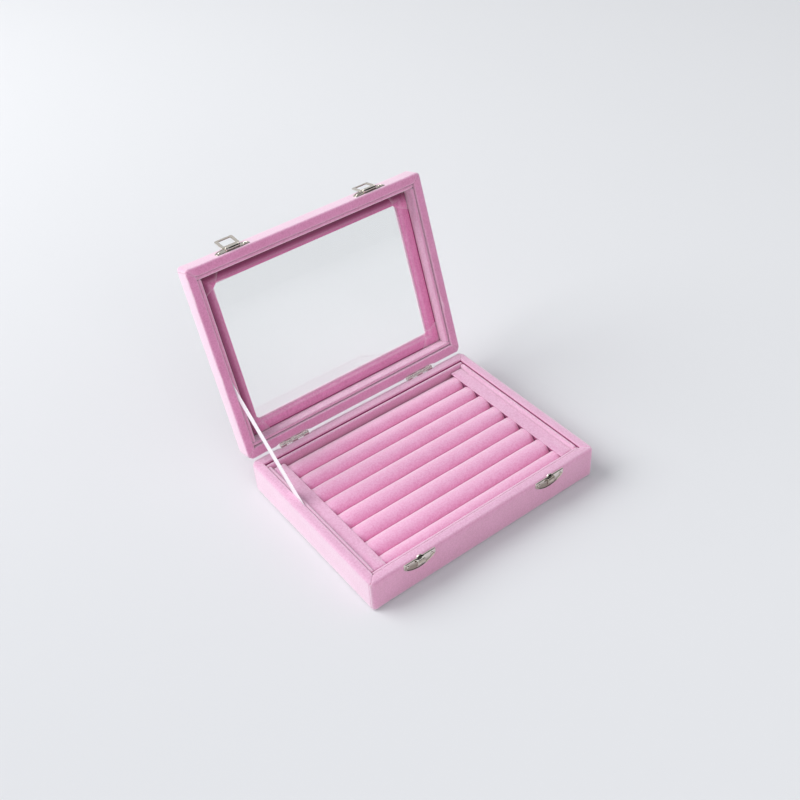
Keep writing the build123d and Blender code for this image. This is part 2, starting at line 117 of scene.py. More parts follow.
# ---------------------------------------------------------------- sizes and colours to change
class VelvetSettings(bpy.types.PropertyGroup):
    pile_colour: FloatVectorProperty(
        name="Pile",
        description="Velvet of the covers, liners and rails where the nap stands up",
        subtype="COLOR",
        min=0,
        max=1,
        default=linear("DE9AC3"),
    )
    shade_colour: FloatVectorProperty(
        name="Pile shade",
        description="The same velvet where the nap was brushed flat",
        subtype="COLOR",
        min=0,
        max=1,
        default=linear("CA6DA4"),
    )
    # Painted light: the rolls' velvet is a lighter, more saturated copy of the covers' pile, for how the key light
    # falls on them
    roll_colour: FloatVectorProperty(
        name="Roll pile",
        description="Velvet of the ring rolls",
        subtype="COLOR",
        min=0,
        max=1,
        default=linear("E99BC8"),
    )
    roll_shade_colour: FloatVectorProperty(
        name="Roll shade",
        description="The rolls' velvet where the nap was brushed flat",
        subtype="COLOR",
        min=0,
        max=1,
        default=linear("DE70AF"),
    )
    # Painted shade: a dark velvet with little sheen, put on the rails' sides, the rolls' end caps and the narrow gaps
    # beside the liners and rims
    painted_shade_colour: FloatVectorProperty(
        name="Crushed pile",
        description="Velvet squeezed flat where the rolls' ends press against the rails",
        subtype="COLOR",
        min=0,
        max=1,
        default=linear("A23A76"),
    )
    # Painted sheen: the mat's colours are lightened to stand in for the sheen that it lacks, since its sheen is kept
    # low
    mat_colour: FloatVectorProperty(
        name="Mat pile",
        description="Velvet of the window mat, flatter and duller than the rest",
        subtype="COLOR",
        min=0,
        max=1,
        default=linear("E8B9D2"),
    )
    mat_shade_colour: FloatVectorProperty(
        name="Mat shade",
        description="The mat's velvet where the nap was brushed flat",
        subtype="COLOR",
        min=0,
        max=1,
        default=linear("D59CB8"),
    )
    # Painted shadow: the window mat's colour beside the lid's front and left liners
    painted_shadow_colour: FloatVectorProperty(
        name="Pressed pile",
        description="Velvet of the window mat where it is pressed in beside the liners",
        subtype="COLOR",
        min=0,
        max=1,
        default=linear("741F4B"),
    )
    # Sheen of the painted-shade velvet, also used for the whole window mat
    painted_shade_sheen: FloatProperty(
        name="Crushed sheen", description="How much that velvet still shines", default=0.15
    )
    # Painted shade: tints the faces that look to the front deeper, as if in shade
    front_shade_tint: FloatVectorProperty(
        name="Lie of the nap",
        description="Deepens the pile on faces that the nap lies down, the ones that look to the front",
        subtype="COLOR",
        min=0,
        max=1.5,
        default=(1.07, 0.62, 0.88),
    )
    sheen_colour: FloatVectorProperty(
        name="Sheen",
        description="Light on the tips of the pile",
        subtype="COLOR",
        min=0,
        max=1,
        default=linear("FFFFFF"),
    )
    sheen: FloatProperty(name="Sheen weight", description="How much the pile's tips shine", default=1.0)
    nap_grain: FloatProperty(
        name="Nap grain",
        description="Width of a tuft of pile; real tufts are 0.3 mm, drawn coarser so that they show",
        unit="LENGTH",
        default=1.3 * MM,
    )
    nap_patch: FloatProperty(
        name="Nap patches",
        description="Width of a brushed patch",
        unit="LENGTH",
        default=16 * MM,
    )
    nap_depth: FloatProperty(
        name="Nap depth",
        description="How deep the bump between tufts is",
        unit="LENGTH",
        default=0.22 * MM,
    )


class CoverSettings(bpy.types.PropertyGroup):
    edge_round: FloatProperty(name="Edge round", description="Base's outer edges, in millimetres", default=2.0)
    lid_edge_round: FloatProperty(
        name="Lid edge round", description="Lid's outer edges, in millimetres", default=1.3
    )
    rim_round: FloatProperty(name="Rim round", description="Inner edge of the rims, in millimetres", default=0.8)
    corner: FloatProperty(name="Corner", description="Upright corners, in millimetres", default=3.2)
    swell: FloatProperty(
        name="Swell", description="How far the velvet lifts off its board, in millimetres", default=0.14
    )
    swell_size: FloatProperty(name="Swell size", description="Width of a lifted patch, in millimetres", default=15.0)
    crease: FloatProperty(name="Mitre crease", description="Depth at the rims' corners, in millimetres", default=0.42)
    flap_rise: FloatProperty(name="Flap step", description="Height of the velvet turned round each corner, in millimetres", default=0.22)
    hinge_side_pile: FloatProperty(
        name="Pile by the hinges",
        description="How far the backs' velvet stands proud between the hinges, in millimetres",
        default=0.95,
    )


class PaddingSettings(bpy.types.PropertyGroup):
    roll_fullness: FloatProperty(
        name="Roll fullness", description="2 is a half ellipse, more is boxier", default=2.1
    )
    roll_end: FloatProperty(name="Roll ends", description="How far their near flank is pulled down, in millimetres", default=2.6)
    roll_tuck: FloatProperty(
        name="Roll tuck", description="How far their ends run in under the rails, in millimetres", default=1.2
    )
    pressure: FloatProperty(name="Pressure", description="Foam pushing the velvet out in the cloth run", default=4.0)
    most_swell: FloatProperty(
        name="Most swell", description="Furthest that the cloth may move a point, in millimetres", default=1.0
    )
    frames: IntProperty(name="Cloth frames", description="Length of the cloth run", default=20)
    liner_bulge: FloatProperty(
        name="Liner bulge", description="How far the lid's liners belly out, in millimetres", default=0.55
    )
    wander: FloatProperty(
        name="Wander", description="How far a pad's surface strays by hand making, in millimetres", default=0.16
    )


class RibbonSettings(bpy.types.PropertyGroup):
    colour: FloatVectorProperty(
        name="Satin",
        description="Ribbon colour",
        subtype="COLOR",
        min=0,
        max=1,
        default=linear("FBF9FB"),
    )
    width: FloatProperty(name="Width", description="In millimetres", default=8.0)
    cupping: FloatProperty(name="Cupping", description="How far its middle bows, in millimetres", default=0.05)


class MetalSettings(bpy.types.PropertyGroup):
    colour: FloatVectorProperty(
        name="Nickel",
        description="Plated steel",
        subtype="COLOR",
        min=0,
        max=1,
        default=linear("ADA498"),
    )
    roughness: FloatProperty(name="Roughness", description="Of the plating", default=0.11, min=0, max=1)
    # Painted light: a paler, half-diffuse copy of the nickel for the hinges' barrels, so they look lit in the lid's
    # shade
    hinge_colour: FloatVectorProperty(
        name="Hinge nickel",
        description="The hinges' cloudy plate",
        subtype="COLOR",
        min=0,
        max=1,
        default=linear("F0EBE6"),
    )
    hinge_roughness: FloatProperty(
        name="Hinge roughness", description="Of the cloudy plate", default=0.24, min=0, max=1
    )
    border: FloatProperty(name="Border", description="Raised border of the plates, in millimetres", default=0.62)
    sunk: FloatProperty(name="Sunk field", description="Stamped depth inside it, in millimetres", default=0.22)
    edge: FloatProperty(name="Edge round", description="Stamped edges, in millimetres", default=0.14)


class StageSettings(bpy.types.PropertyGroup):
    camera_place: FloatVectorProperty(
        name="Camera",
        description="Where the camera stands, in metres",
        default=(-0.3252, -0.4585, 0.5583),
    )
    camera_turn: FloatVectorProperty(
        name="Turn",
        description="Its rotation in degrees",
        default=(49.604, 3.480, -37.033),
    )
    lens: FloatProperty(name="Lens", description="Focal length in millimetres on 36 mm", default=47.615)
    floor_colour: FloatVectorProperty(
        name="Floor", description="Pale paper sweep", subtype="COLOR", min=0, max=1, default=linear("EAEBED")
    )
    backdrop_colour: FloatVectorProperty(
        name="Backdrop", description="Seen past the floor", subtype="COLOR", min=0, max=1, default=linear("E3E4E7")
    )
    key_power: FloatProperty(name="Key", description="Soft light from the left and behind, in watts", default=37.0)
    fill_power: FloatProperty(name="Fill", description="Soft light from the front, in watts", default=4.8)
    sky: FloatProperty(name="Room", description="Strength of the light from all round", default=0.5)


# ---------------------------------------------------------------- materials
def add_node(tree, kind, inputs=None, **settings):
    """A node with its settings; an input is a value, or the output that feeds it."""
    node = tree.nodes.new(kind)
    for name, value in settings.items():
        setattr(node, name, value)
    for socket, value in (inputs or {}).items():
        if isinstance(value, bpy.types.NodeSocket):
            tree.links.new(value, node.inputs[socket])
        else:
            node.inputs[socket].default_value = value
    return node


def start_material(name):
    """An empty material, its node tree and its output node."""
    material = bpy.data.materials.new(name)
    material.use_nodes = True
    tree = material.node_tree
    tree.nodes.clear()
    return material, tree, add_node(tree, "ShaderNodeOutputMaterial")


def colour4(colour):
    return (*colour, 1.0)


def painted_shadow_share(tree, place):
    """Painted shadow: 0 beside the lid's front and left liners, where the window mat is painted darkest, and 1 by the
    window, as if light fell from the top left past those walls. The left side is measured from 1.5 mm outside its
    edge, so its band is narrower."""
    back = lid_place.inverted()
    insets = []
    for row, to_edge in ((1, half_depth), (0, half_width + 1.5)):
        along = add_node(
            tree, "ShaderNodeVectorMath", {0: place, 1: tuple(back[row][:3])}, operation="DOT_PRODUCT"
        )
        inset = add_node(
            tree, "ShaderNodeMath", {0: along.outputs["Value"], 1: back[row][3] + to_edge}, operation="ADD"
        )
        insets.append(inset.outputs[0])
    nearest = add_node(tree, "ShaderNodeMath", {0: insets[0], 1: insets[1]}, operation="MINIMUM")
    share = add_node(
        tree, "ShaderNodeMapRange", {"Value": nearest.outputs[0], "From Min": 13.8, "From Max": 22.0}
    )
    return share.outputs["Result"]


# pressed: paints a shadow on the window mat beside the lid's front and left liners
def velvet(name, pile_colour, shade_colour, sheen, pressed=False):
    """Short-pile velvet, woven and sheared.

    The eye sees a matt pink that mottles tuft by tuft, darker patches where the nap was brushed flat, paler sharp
    edges where the pile is pulled thin round a board, with a painted highlight in the sheen's colour, and a soft
    white bloom at grazing angles.
    The window mat's is duller, with painted shadow, a deeper pink, beside the lid's front and left liners.
    """
    settings = bpy.context.scene.ring_box_velvet
    material, tree, output = start_material(name)
    place = add_node(tree, "ShaderNodeTexCoord").outputs["Object"]
    patches = add_node(
        tree,
        "ShaderNodeTexNoise",
        {"Vector": place, "Scale": 1 / settings.nap_patch, "Detail": 3.0, "Roughness": 0.6},
    )
    tufts = add_node(
        tree,
        "ShaderNodeTexNoise",
        {"Vector": place, "Scale": 1 / settings.nap_grain, "Detail": 2.0, "Roughness": 0.7},
    )
    patch_share = add_node(
        tree,
        "ShaderNodeMapRange",
        {"Value": patches.outputs["Fac"], "From Min": 0.3, "From Max": 0.7, "To Min": 0.05, "To Max": 0.35},
    )
    tuft_share = add_node(
        tree,
        "ShaderNodeMapRange",
        {"Value": tufts.outputs["Fac"], "From Min": 0.36, "From Max": 0.64, "To Min": 0.0, "To Max": 0.8},
    )
    nap = add_node(
        tree,
        "ShaderNodeMath",
        {0: patch_share.outputs["Result"], 1: tuft_share.outputs["Result"]},
        operation="ADD",
        use_clamp=True,
    )
    mottled = add_node(tree, "ShaderNodeMix", {}, data_type="RGBA")
    tree.links.new(nap.outputs[0], mottled.inputs["Factor"])
    mottled.inputs[6].default_value = colour4(shade_colour)
    mottled.inputs[7].default_value = colour4(pile_colour)
    # painted shade: faces that look to the front get a deeper, more saturated pink, as if out of the key light
    side = add_node(tree, "ShaderNodeTexCoord").outputs["Normal"]
    front = add_node(tree, "ShaderNodeVectorMath", {0: side, 1: (0.0, -1.0, 0.0)}, operation="DOT_PRODUCT")
    front_shade = add_node(
        tree,
        "ShaderNodeMapRange",
        {"Value": front.outputs["Value"], "From Min": 0.25, "From Max": 0.95, "To Min": 0.0, "To Max": 1.0},
    )
    front_shaded = add_node(tree, "ShaderNodeMix", {}, data_type="RGBA", blend_type="MULTIPLY")
    tree.links.new(front_shade.outputs["Result"], front_shaded.inputs["Factor"])
    tree.links.new(mottled.outputs[2], front_shaded.inputs[6])
    front_shaded.inputs[7].default_value = colour4(settings.front_shade_tint)
    colour = front_shaded.outputs[2]
    # painted shadow on the window mat beside the lid's front and left liners
    if pressed:
        share = painted_shadow_share(tree, place)
        deep = add_node(tree, "ShaderNodeMix", {}, data_type="RGBA")
        tree.links.new(share, deep.inputs["Factor"])
        deep.inputs[6].default_value = colour4(settings.painted_shadow_colour)
        tree.links.new(colour, deep.inputs[7])
        colour = deep.outputs[2]
    # paler sharp edges: the pile pulled thin over the boards, with a painted highlight in the sheen's colour
    edges = add_node(
        tree,
        "ShaderNodeMapRange",
        {
            "Value": add_node(tree, "ShaderNodeNewGeometry").outputs["Pointiness"],
            "From Min": 0.505,
            "From Max": 0.56,
            "To Min": 0.0,
            "To Max": 0.3,
        },
    )
    edge_wear_and_highlight = add_node(tree, "ShaderNodeMix", {}, data_type="RGBA")
    tree.links.new(edges.outputs["Result"], edge_wear_and_highlight.inputs["Factor"])
    tree.links.new(colour, edge_wear_and_highlight.inputs[6])
    edge_wear_and_highlight.inputs[7].default_value = colour4(settings.sheen_colour)
    matt = add_node(
        tree,
        "ShaderNodeMapRange",
        {"Value": tufts.outputs["Fac"], "From Min": 0.25, "From Max": 0.75, "To Min": 0.86, "To Max": 1.0},
    )
    relief = add_node(
        tree,
        "ShaderNodeBump",
        {"Strength": 0.55, "Distance": settings.nap_depth, "Height": tufts.outputs["Fac"]},
    )
    shader = add_node(
        tree,
        "ShaderNodeBsdfPrincipled",
        {
            "Base Color": edge_wear_and_highlight.outputs[2],
            "Roughness": matt.outputs["Result"],
            "Specular IOR Level": 0.12,
            "Sheen Weight": sheen,
            "Sheen Roughness": 0.78,
            "Sheen Tint": colour4(settings.sheen_colour),
            "Normal": relief.outputs["Normal"],
        },
    )
    tree.links.new(shader.outputs["BSDF"], output.inputs["Surface"])
    return material


def satin():
    """Polyester satin, woven. The eye sees clean white with a broad soft gloss along its length
    and the fine cross ribs of its weave at a grazing angle."""
    material, tree, output = start_material("white_satin_woven")
    place = add_node(tree, "ShaderNodeTexCoord").outputs["Object"]
    ribs = add_node(
        tree,
        "ShaderNodeTexWave",
        {"Vector": place, "Scale": 1 / (2 * pi * 0.35 * MM) * 2, "Distortion": 1.2, "Detail": 1.0},
        bands_direction="Z",
    )
    threads = add_node(
        tree, "ShaderNodeTexNoise", {"Vector": place, "Scale": 1 / (1.6 * MM), "Detail": 3.0}
    )
    gloss = add_node(
        tree,
        "ShaderNodeMapRange",
        {"Value": threads.outputs["Fac"], "From Min": 0.3, "From Max": 0.7, "To Min": 0.34, "To Max": 0.46},
    )
    white = add_node(tree, "ShaderNodeMix", {}, data_type="RGBA")
    tree.links.new(threads.outputs["Fac"], white.inputs["Factor"])
    white.inputs[6].default_value = colour4(linear("F1EEF2"))
    white.inputs[7].default_value = colour4(bpy.context.scene.ring_box_ribbon.colour)
    relief = add_node(
        tree, "ShaderNodeBump", {"Strength": 0.25, "Distance": 0.04 * MM, "Height": ribs.outputs["Fac"]}
    )
    shader = add_node(
        tree,
        "ShaderNodeBsdfPrincipled",
        {
            "Base Color": white.outputs[2],
            "Roughness": gloss.outputs["Result"],
            "Sheen Weight": 0.3,
            "Sheen Roughness": 0.35,
            "Normal": relief.outputs["Normal"],
        },
    )
    tree.links.new(shader.outputs["BSDF"], output.inputs["Surface"])
    return material


def nickel(name, colour, roughness, metallic=1.0):
    """Steel pressed from sheet, then nickel plated. The eye sees a warm grey mirror, slightly rippled by the press,
    duller in its hollows, and paler along its edges: burnished there, with a painted highlight. The hinges' barrels
    get a paler, half-diffuse copy, painted light that makes them look lit in the lid's shade, with no sharp
    reflections."""
    material, tree, output = start_material(name)
    place = add_node(tree, "ShaderNodeTexCoord").outputs["Object"]
    ripple = add_node(tree, "ShaderNodeTexNoise", {"Vector": place, "Scale": 1 / (1.8 * MM), "Detail": 2.0})
    haze = add_node(
        tree, "ShaderNodeTexNoise", {"Vector": place, "Scale": 1 / (0.5 * MM), "Detail": 4.0, "Roughness": 0.7}
    )
    dull = add_node(
        tree,
        "ShaderNodeMapRange",
        {
            "Value": haze.outputs["Fac"],
            "From Min": 0.3,
            "From Max": 0.7,
            "To Min": roughness - 0.05,
            "To Max": roughness + 0.09,
        },
    )
    # burnish and painted highlight: paler along sharp edges
    edge_wear_and_highlight = add_node(
        tree,
        "ShaderNodeMapRange",
        {
            "Value": add_node(tree, "ShaderNodeNewGeometry").outputs["Pointiness"],
            "From Min": 0.5,
            "From Max": 0.58,
        },
    )
    plating = add_node(tree, "ShaderNodeMix", {}, data_type="RGBA")
    tree.links.new(edge_wear_and_highlight.outputs["Result"], plating.inputs["Factor"])
    plating.inputs[6].default_value = colour4(colour)
    plating.inputs[7].default_value = colour4(linear("F2EEE6"))
    relief = add_node(
        tree, "ShaderNodeBump", {"Strength": 0.3, "Distance": 0.06 * MM, "Height": ripple.outputs["Fac"]}
    )
    shader = add_node(
        tree,
        "ShaderNodeBsdfPrincipled",
        {
            "Base Color": plating.outputs[2],
            "Metallic": metallic,
            "Roughness": dull.outputs["Result"],
            "Normal": relief.outputs["Normal"],
        },
    )
    tree.links.new(shader.outputs["BSDF"], output.inputs["Surface"])
    return material


def float_glass():
    """Clear float glass with cut edges. The eye sees what is behind it a shade darker, a faint
    green in its depth and faint wiping marks in its gloss. Lamps shine through it."""
    material, tree, output = start_material("float_glass_clear")
    place = add_node(tree, "ShaderNodeTexCoord").outputs["Object"]
    wiping = add_node(tree, "ShaderNodeTexNoise", {"Vector": place, "Scale": 1 / (24 * MM), "Detail": 4.0})
    marks = add_node(
        tree,
        "ShaderNodeMapRange",
        {"Value": wiping.outputs["Fac"], "From Min": 0.45, "From Max": 0.75, "To Min": 0.0, "To Max": 0.03},
    )
    tint = colour4(linear("FBFDFC"))
    glass = add_node(
        tree,
        "ShaderNodeBsdfPrincipled",
        {
            "Base Color": tint,
            "Roughness": marks.outputs["Result"],
            "IOR": 1.5,
            "Transmission Weight": 1.0,
        },
    )
    clear = add_node(tree, "ShaderNodeBsdfTransparent", {"Color": tint})
    lamp_ray = add_node(tree, "ShaderNodeLightPath").outputs["Is Shadow Ray"]
    mixed = add_node(
        tree, "ShaderNodeMixShader", {0: lamp_ray, 1: glass.outputs["BSDF"], 2: clear.outputs["BSDF"]}
    )
    tree.links.new(mixed.outputs[0], output.inputs["Surface"])
    return material


def pressed_board(name, light, dark, fibre, grain_along=(1.0, 1.0, 1.0)):
    """Board or paper pressed from fibres. The eye sees a dull mottle of short fibres over a plain
    ground, and a slightly uneven surface."""
    material, tree, output = start_material(name)
    place = add_node(tree, "ShaderNodeTexCoord").outputs["Object"]
    stretched = add_node(tree, "ShaderNodeMapping", {"Vector": place, "Scale": grain_along})
    fibres = add_node(
        tree,
        "ShaderNodeTexNoise",
        {"Vector": stretched.outputs["Vector"], "Scale": 1 / fibre, "Detail": 5.0, "Roughness": 0.75},
    )
    share = add_node(
        tree, "ShaderNodeMapRange", {"Value": fibres.outputs["Fac"], "From Min": 0.35, "From Max": 0.65}
    )
    ground = add_node(tree, "ShaderNodeMix", {}, data_type="RGBA")
    tree.links.new(share.outputs["Result"], ground.inputs["Factor"])
    ground.inputs[6].default_value = colour4(linear(dark))
    ground.inputs[7].default_value = colour4(linear(light))
    matt = add_node(
        tree, "ShaderNodeMapRange", {"Value": fibres.outputs["Fac"], "To Min": 0.75, "To Max": 0.95}
    )
    relief = add_node(
        tree, "ShaderNodeBump", {"Strength": 0.4, "Distance": 0.05 * MM, "Height": fibres.outputs["Fac"]}
    )
    shader = add_node(
        tree,
        "ShaderNodeBsdfPrincipled",
        {
            "Base Color": ground.outputs[2],
            "Roughness": matt.outputs["Result"],
            "Normal": relief.outputs["Normal"],
        },
    )
    tree.links.new(shader.outputs["BSDF"], output.inputs["Surface"])
    return material


def finish(slot):
    """The material of one of the record's slots, made when it is first asked for."""
    settings = bpy.context.scene.ring_box_velvet
    metal = bpy.context.scene.ring_box_metal
    makers = {
        "pink_velvet": lambda: velvet(
            "pink_velvet_short_pile", settings.pile_colour, settings.shade_colour, settings.sheen
        ),
        "roll_velvet": lambda: velvet(
            "roll_velvet_short_pile", settings.roll_colour, settings.roll_shade_colour, settings.sheen
        ),
        # the window mat, with painted shadow beside two liners
        "mat_velvet": lambda: velvet(
            "pink_velvet_mat_pile", settings.mat_colour, settings.mat_shade_colour, settings.painted_shade_sheen, True
        ),
        # painted shade: the dark velvet for the pits and gaps
        "painted_shade_velvet": lambda: velvet(
            "pink_velvet_painted_shade", settings.painted_shade_colour, settings.painted_shade_colour, settings.painted_shade_sheen
        ),
        "white_satin": satin,
        "nickel_plate": lambda: nickel("nickel_plated_pressed_steel", metal.colour, metal.roughness),
        # painted light: the paler nickel copy for the hinges' barrels
        "cloudy_plate": lambda: nickel(
            "nickel_plated_steel_painted_light", metal.hinge_colour, metal.hinge_roughness, 0.55
        ),
        "glass": float_glass,
        "fibreboard": lambda: pressed_board("fibreboard_pressed", "B48A5E", "8D6844", 0.8 * MM),
        "card": lambda: pressed_board("grey_card_pressed", "BDB9B2", "9E9A94", 1.1 * MM, (1.0, 3.0, 1.0)),
        "underside_paper": lambda: pressed_board("embossed_paper_sheet", "EFE6EA", "D9C6CF", 0.7 * MM),
    }
    if slot not in finish.made:
        finish.made[slot] = makers[slot]()
    return finish.made[slot]


finish.made = {}


# ---------------------------------------------------------------- drawing meshes
def put_in_place(name, vertices, faces, place):
    """A smooth mesh object from millimetre points, in the row frame, with its faces turned outward."""
    mesh = bpy.data.meshes.new(name)
    mesh.from_pydata([tuple(v) for v in vertices], [], faces)
    work = bmesh.new()
    work.from_mesh(mesh)
    bmesh.ops.remove_doubles(work, verts=work.verts, dist=1e-4)
    bmesh.ops.transform(work, matrix=place, verts=work.verts)
    bmesh.ops.recalc_face_normals(work, faces=work.faces)
    for face in work.faces:
        face.smooth = True
    work.to_mesh(mesh)
    work.free()
    piece = bpy.data.objects.new(name, mesh)
    bpy.context.scene.collection.objects.link(piece)
    return piece


def dress(piece, body, slot, *nodes):
    """Gives a piece its finish and its body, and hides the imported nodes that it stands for."""
    piece.data.materials.append(finish(slot))
    if nodes:
        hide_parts(*nodes)
    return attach(piece, body)


def refinish(piece, place, slot, picked):
    """Gives another finish to the faces that picked(centre, normal) chooses. Both are in the half's
    own frame, the centre in millimetres."""
    piece.data.materials.append(finish(slot))
    back = place.inverted()
    for face in piece.data.polygons:
        normal = (back.to_3x3() @ face.normal).normalized()
        if picked(back @ face.center, normal):
            face.material_index = 1


def inset_of(point):
    """How far a point lies inside the box's outline."""
    return min(half_width - abs(point.x), half_depth - abs(point.y))


def sharpen(piece, angle=35.0):
    """Keeps a pressed piece's edges crisp between faces that meet at more than this."""
    piece.data.set_sharp_from_angle(angle=radians(angle))


def arc(centre, radius, start, end, steps):
    """Points of an arc, in degrees from its first axis."""
    turns = [radians(start + (end - start) * i / steps) for i in range(steps + 1)]
    return [(centre[0] + radius * cos(a), centre[1] + radius * sin(a)) for a in turns]


def grid_faces(rows, columns, close_rows, close_columns):
    """Four-sided faces over a grid of points, closed round either way."""
    row_count = rows if close_rows else rows - 1
    column_count = columns if close_columns else columns - 1
    return [
        (
            i * columns + j,
            i * columns + (j + 1) % columns,
            (i + 1) % rows * columns + (j + 1) % columns,
            (i + 1) % rows * columns + j,
        )
        for i in range(row_count)
        for j in range(column_count)
    ]


def stray(point, size, seed):
    """Smooth noise from -1 to 1, with bumps of about this size."""
    return noise.noise(Vector(point) / size + Vector((seed * 17.3, seed * 5.9, seed * 11.1)))


# Skins that run right round the box: rows of (inset, height, corner radius) swept round it
CORNERS = ((1, 1, 0), (-1, 1, 90), (-1, -1, 180), (1, -1, 270))
CORNER_ANGLES = (0, 6, 12, 18, 26, 35, 45, 55, 64, 72, 78, 84, 90)
NEAR_CORNER = (0.35, 0.8, 1.4, 2.2, 3.4, 5.0, 8.0)
STATION_SPACING = 4.0


def ring_stations(half_x, half_y):
    """The columns of a swept skin: (corner or side number, angle or None, near, far, share)."""
    stations = []
    for number in range(4):
        stations += [(number, angle, 0, 0, 0) for angle in CORNER_ANGLES]
        length = 2 * (half_x if number in (0, 2) else half_y)
        middle = round((length - 2 * NEAR_CORNER[-1]) / STATION_SPACING)
        stations += [(number, None, near, 0, 0.0) for near in NEAR_CORNER]
        ends = NEAR_CORNER[-1]
        stations += [(number, None, ends, ends, i / middle) for i in range(1, middle)]
        stations += [(number, None, 0, far, 1.0) for far in reversed(NEAR_CORNER)]
    return stations


def ring_corner(number, angle, half_x, half_y, radius):
    side_x, side_y, start = CORNERS[number % 4]
    turn = radians(start + angle)
    return Vector(
        (
            side_x * (half_x - radius) + radius * cos(turn),
            side_y * (half_y - radius) + radius * sin(turn),
        )
    )


def ring_point(station, half_x, half_y, radius):
    number, angle, near, far, share = station
    if angle is not None:
        return ring_corner(number, angle, half_x, half_y, radius)
    start = ring_corner(number, 90, half_x, half_y, radius)
    end = ring_corner(number + 1, 0, half_x, half_y, radius)
    length = (end - start).length
    along = near + share * (length - near - far)
    return start.lerp(end, along / length)


def swept_skin(name, rows, place, lift=None):
    """A closed skin from rows of (inset, height, corner radius). lift(row, station, point, inset,
    height) says how far a point stands proud, in millimetres, along the skin's own normal."""
    stations = ring_stations(half_width, half_depth)
    points = []
    for inset, height, radius in rows:
        for station in stations:
            flat = ring_point(station, half_width - inset, half_depth - inset, radius)
            points.append(Vector((flat.x, flat.y, height)))
    faces = grid_faces(len(rows), len(stations), True, True)
    if lift:
        work = bmesh.new()
        added = [work.verts.new(p) for p in points]
        for face in faces:
            work.faces.new([added[i] for i in face])
        bmesh.ops.recalc_face_normals(work, faces=work.faces)
        work.normal_update()
        for index, vertex in enumerate(added):
            row, column = divmod(index, len(stations))
            inset, height, radius = rows[row]
            amount = lift(stations[column], vertex.co, inset, height)
            points[index] = vertex.co + vertex.normal * amount
        work.free()
    return put_in_place(name, points, faces, place)


def seam(station, share):
    """(flap, groove) at a corner: velvet turned round it ends in a seam just past it on the side
    face. share says how far the skin is down from the rim, where the seam starts in the mitre."""
    number, angle, near, far, along = station
    if angle is None:
        if number in (0, 2):
            distance = near if along == 0.0 else far if along == 1.0 else 8.0
            return max(0.0, 1 - distance / 8), 0.0
        return 0.0, 0.0
    from_side = angle if number in (0, 2) else 90 - angle
    seam_angle = 45 - 33 * share
    groove = 2.718 ** (-(((from_side - seam_angle) / 5.5) ** 2))
    return min(1.0, max(0.0, (from_side - seam_angle) / 6)), groove


# Pads: a closed section in (across, up) carried along X, with ends that draw in
def pad_mesh(length, section, end, shrink_across, shrink_up, spacing, dip=0.0):
    """Points and faces of a pad centred on X, standing on height 0. dip is how far its ends are
    pulled down on the near flank."""
    half = max(y for y, z in section)
    height = max(z for y, z in section)
    end_steps = 7
    near = [end * (1 - cos(radians(90 * i / end_steps))) for i in range(end_steps + 1)]
    if dip:
        near += [end + step for step in (0.7, 1.5, 2.5, 3.7, 5.1)]
    plain = length - 2 * near[-1]
    middle = max(2, round(plain / spacing))
    across_places = (
        [-length / 2 + n for n in near]
        + [-length / 2 + near[-1] + plain * i / middle for i in range(1, middle)]
        + [length / 2 - n for n in reversed(near)]
    )
    points = []
    for x in across_places:
        from_end = min(x + length / 2, length / 2 - x, end)
        draw = 1 - sqrt(max(0.0, 1 - (1 - from_end / end) ** 2))
        for y, z in section:
            points.append((x, y * (1 - shrink_across * draw), z * (1 - shrink_up * draw)))
    if dip:
        dipped = []
        for x, y, z in points:
            near_end = max(0.0, 1 - (length / 2 - abs(x)) / 6.0)
            beside = (max(0.0, -y) / half) ** 2.2
            up = z - dip * near_end**2 * beside * min(1.0, z / height * 1.6)
            dipped.append((x, y, up))
        points = dipped
    count = len(section)
    faces = grid_faces(len(across_places), count, False, True)
    middle_up = sum(z for y, z in section) / count
    for first, x in ((0, -length / 2), (len(across_places) - 1, length / 2)):
        rim = [first * count + i for i in range(count)]
        for scale in (0.72, 0.42):
            ring = []
            for i in range(count):
                edge_x, y, z = points[first * count + i]
                ring.append(len(points))
                points.append((x + (edge_x - x) * scale, y * scale, middle_up + (z - middle_up) * scale))
            faces += [(rim[i], rim[(i + 1) % count], ring[(i + 1) % count], ring[i]) for i in range(count)]
            rim = ring
        points.append((x, 0, middle_up))
        hub = len(points) - 1
        faces += [(rim[i], rim[(i + 1) % count], hub) for i in range(count)]
    return points, faces


def cloth_swell(points, faces, glued, pressure, most, frames):
    """Runs a pad's skin as cloth with its foam pressing out and its underside glued, and returns
    the points. The run is in centimetres, because cloth behaves badly at a few millimetres."""
    scale = 0.1
    mesh = bpy.data.meshes.new("cloth_run")
    mesh.from_pydata([tuple(Vector(p) * scale) for p in points], [], faces)
    work = bmesh.new()
    work.from_mesh(mesh)
    bmesh.ops.recalc_face_normals(work, faces=work.faces)
    work.to_mesh(mesh)
    work.free()
    run = bpy.data.objects.new("cloth_run", mesh)
    scene = bpy.context.scene
    scene.collection.objects.link(run)
    pins = run.vertex_groups.new(name="glued")
    pins.add([i for i, p in enumerate(points) if glued(p)], 1.0, "REPLACE")
    cloth = run.modifiers.new("Cloth", "CLOTH")
    cloth.settings.vertex_group_mass = pins.name
    cloth.settings.use_pressure = True
    cloth.settings.uniform_pressure_force = pressure
    cloth.settings.effector_weights.gravity = 0
    cloth.point_cache.frame_start = 1
    cloth.point_cache.frame_end = frames
    for number in range(1, frames + 1):
        scene.frame_set(number)
    swollen = run.evaluated_get(bpy.context.evaluated_depsgraph_get()).data
    after = [v.co / scale for v in swollen.vertices]
    result = []
    for before, moved in zip(points, after):
        step = moved - Vector(before)
        if step.length > most:
            step *= most / step.length
        result.append(tuple(Vector(before) + step))
    bpy.data.objects.remove(run)
    bpy.data.meshes.remove(mesh)
    scene.frame_set(1)
    return result


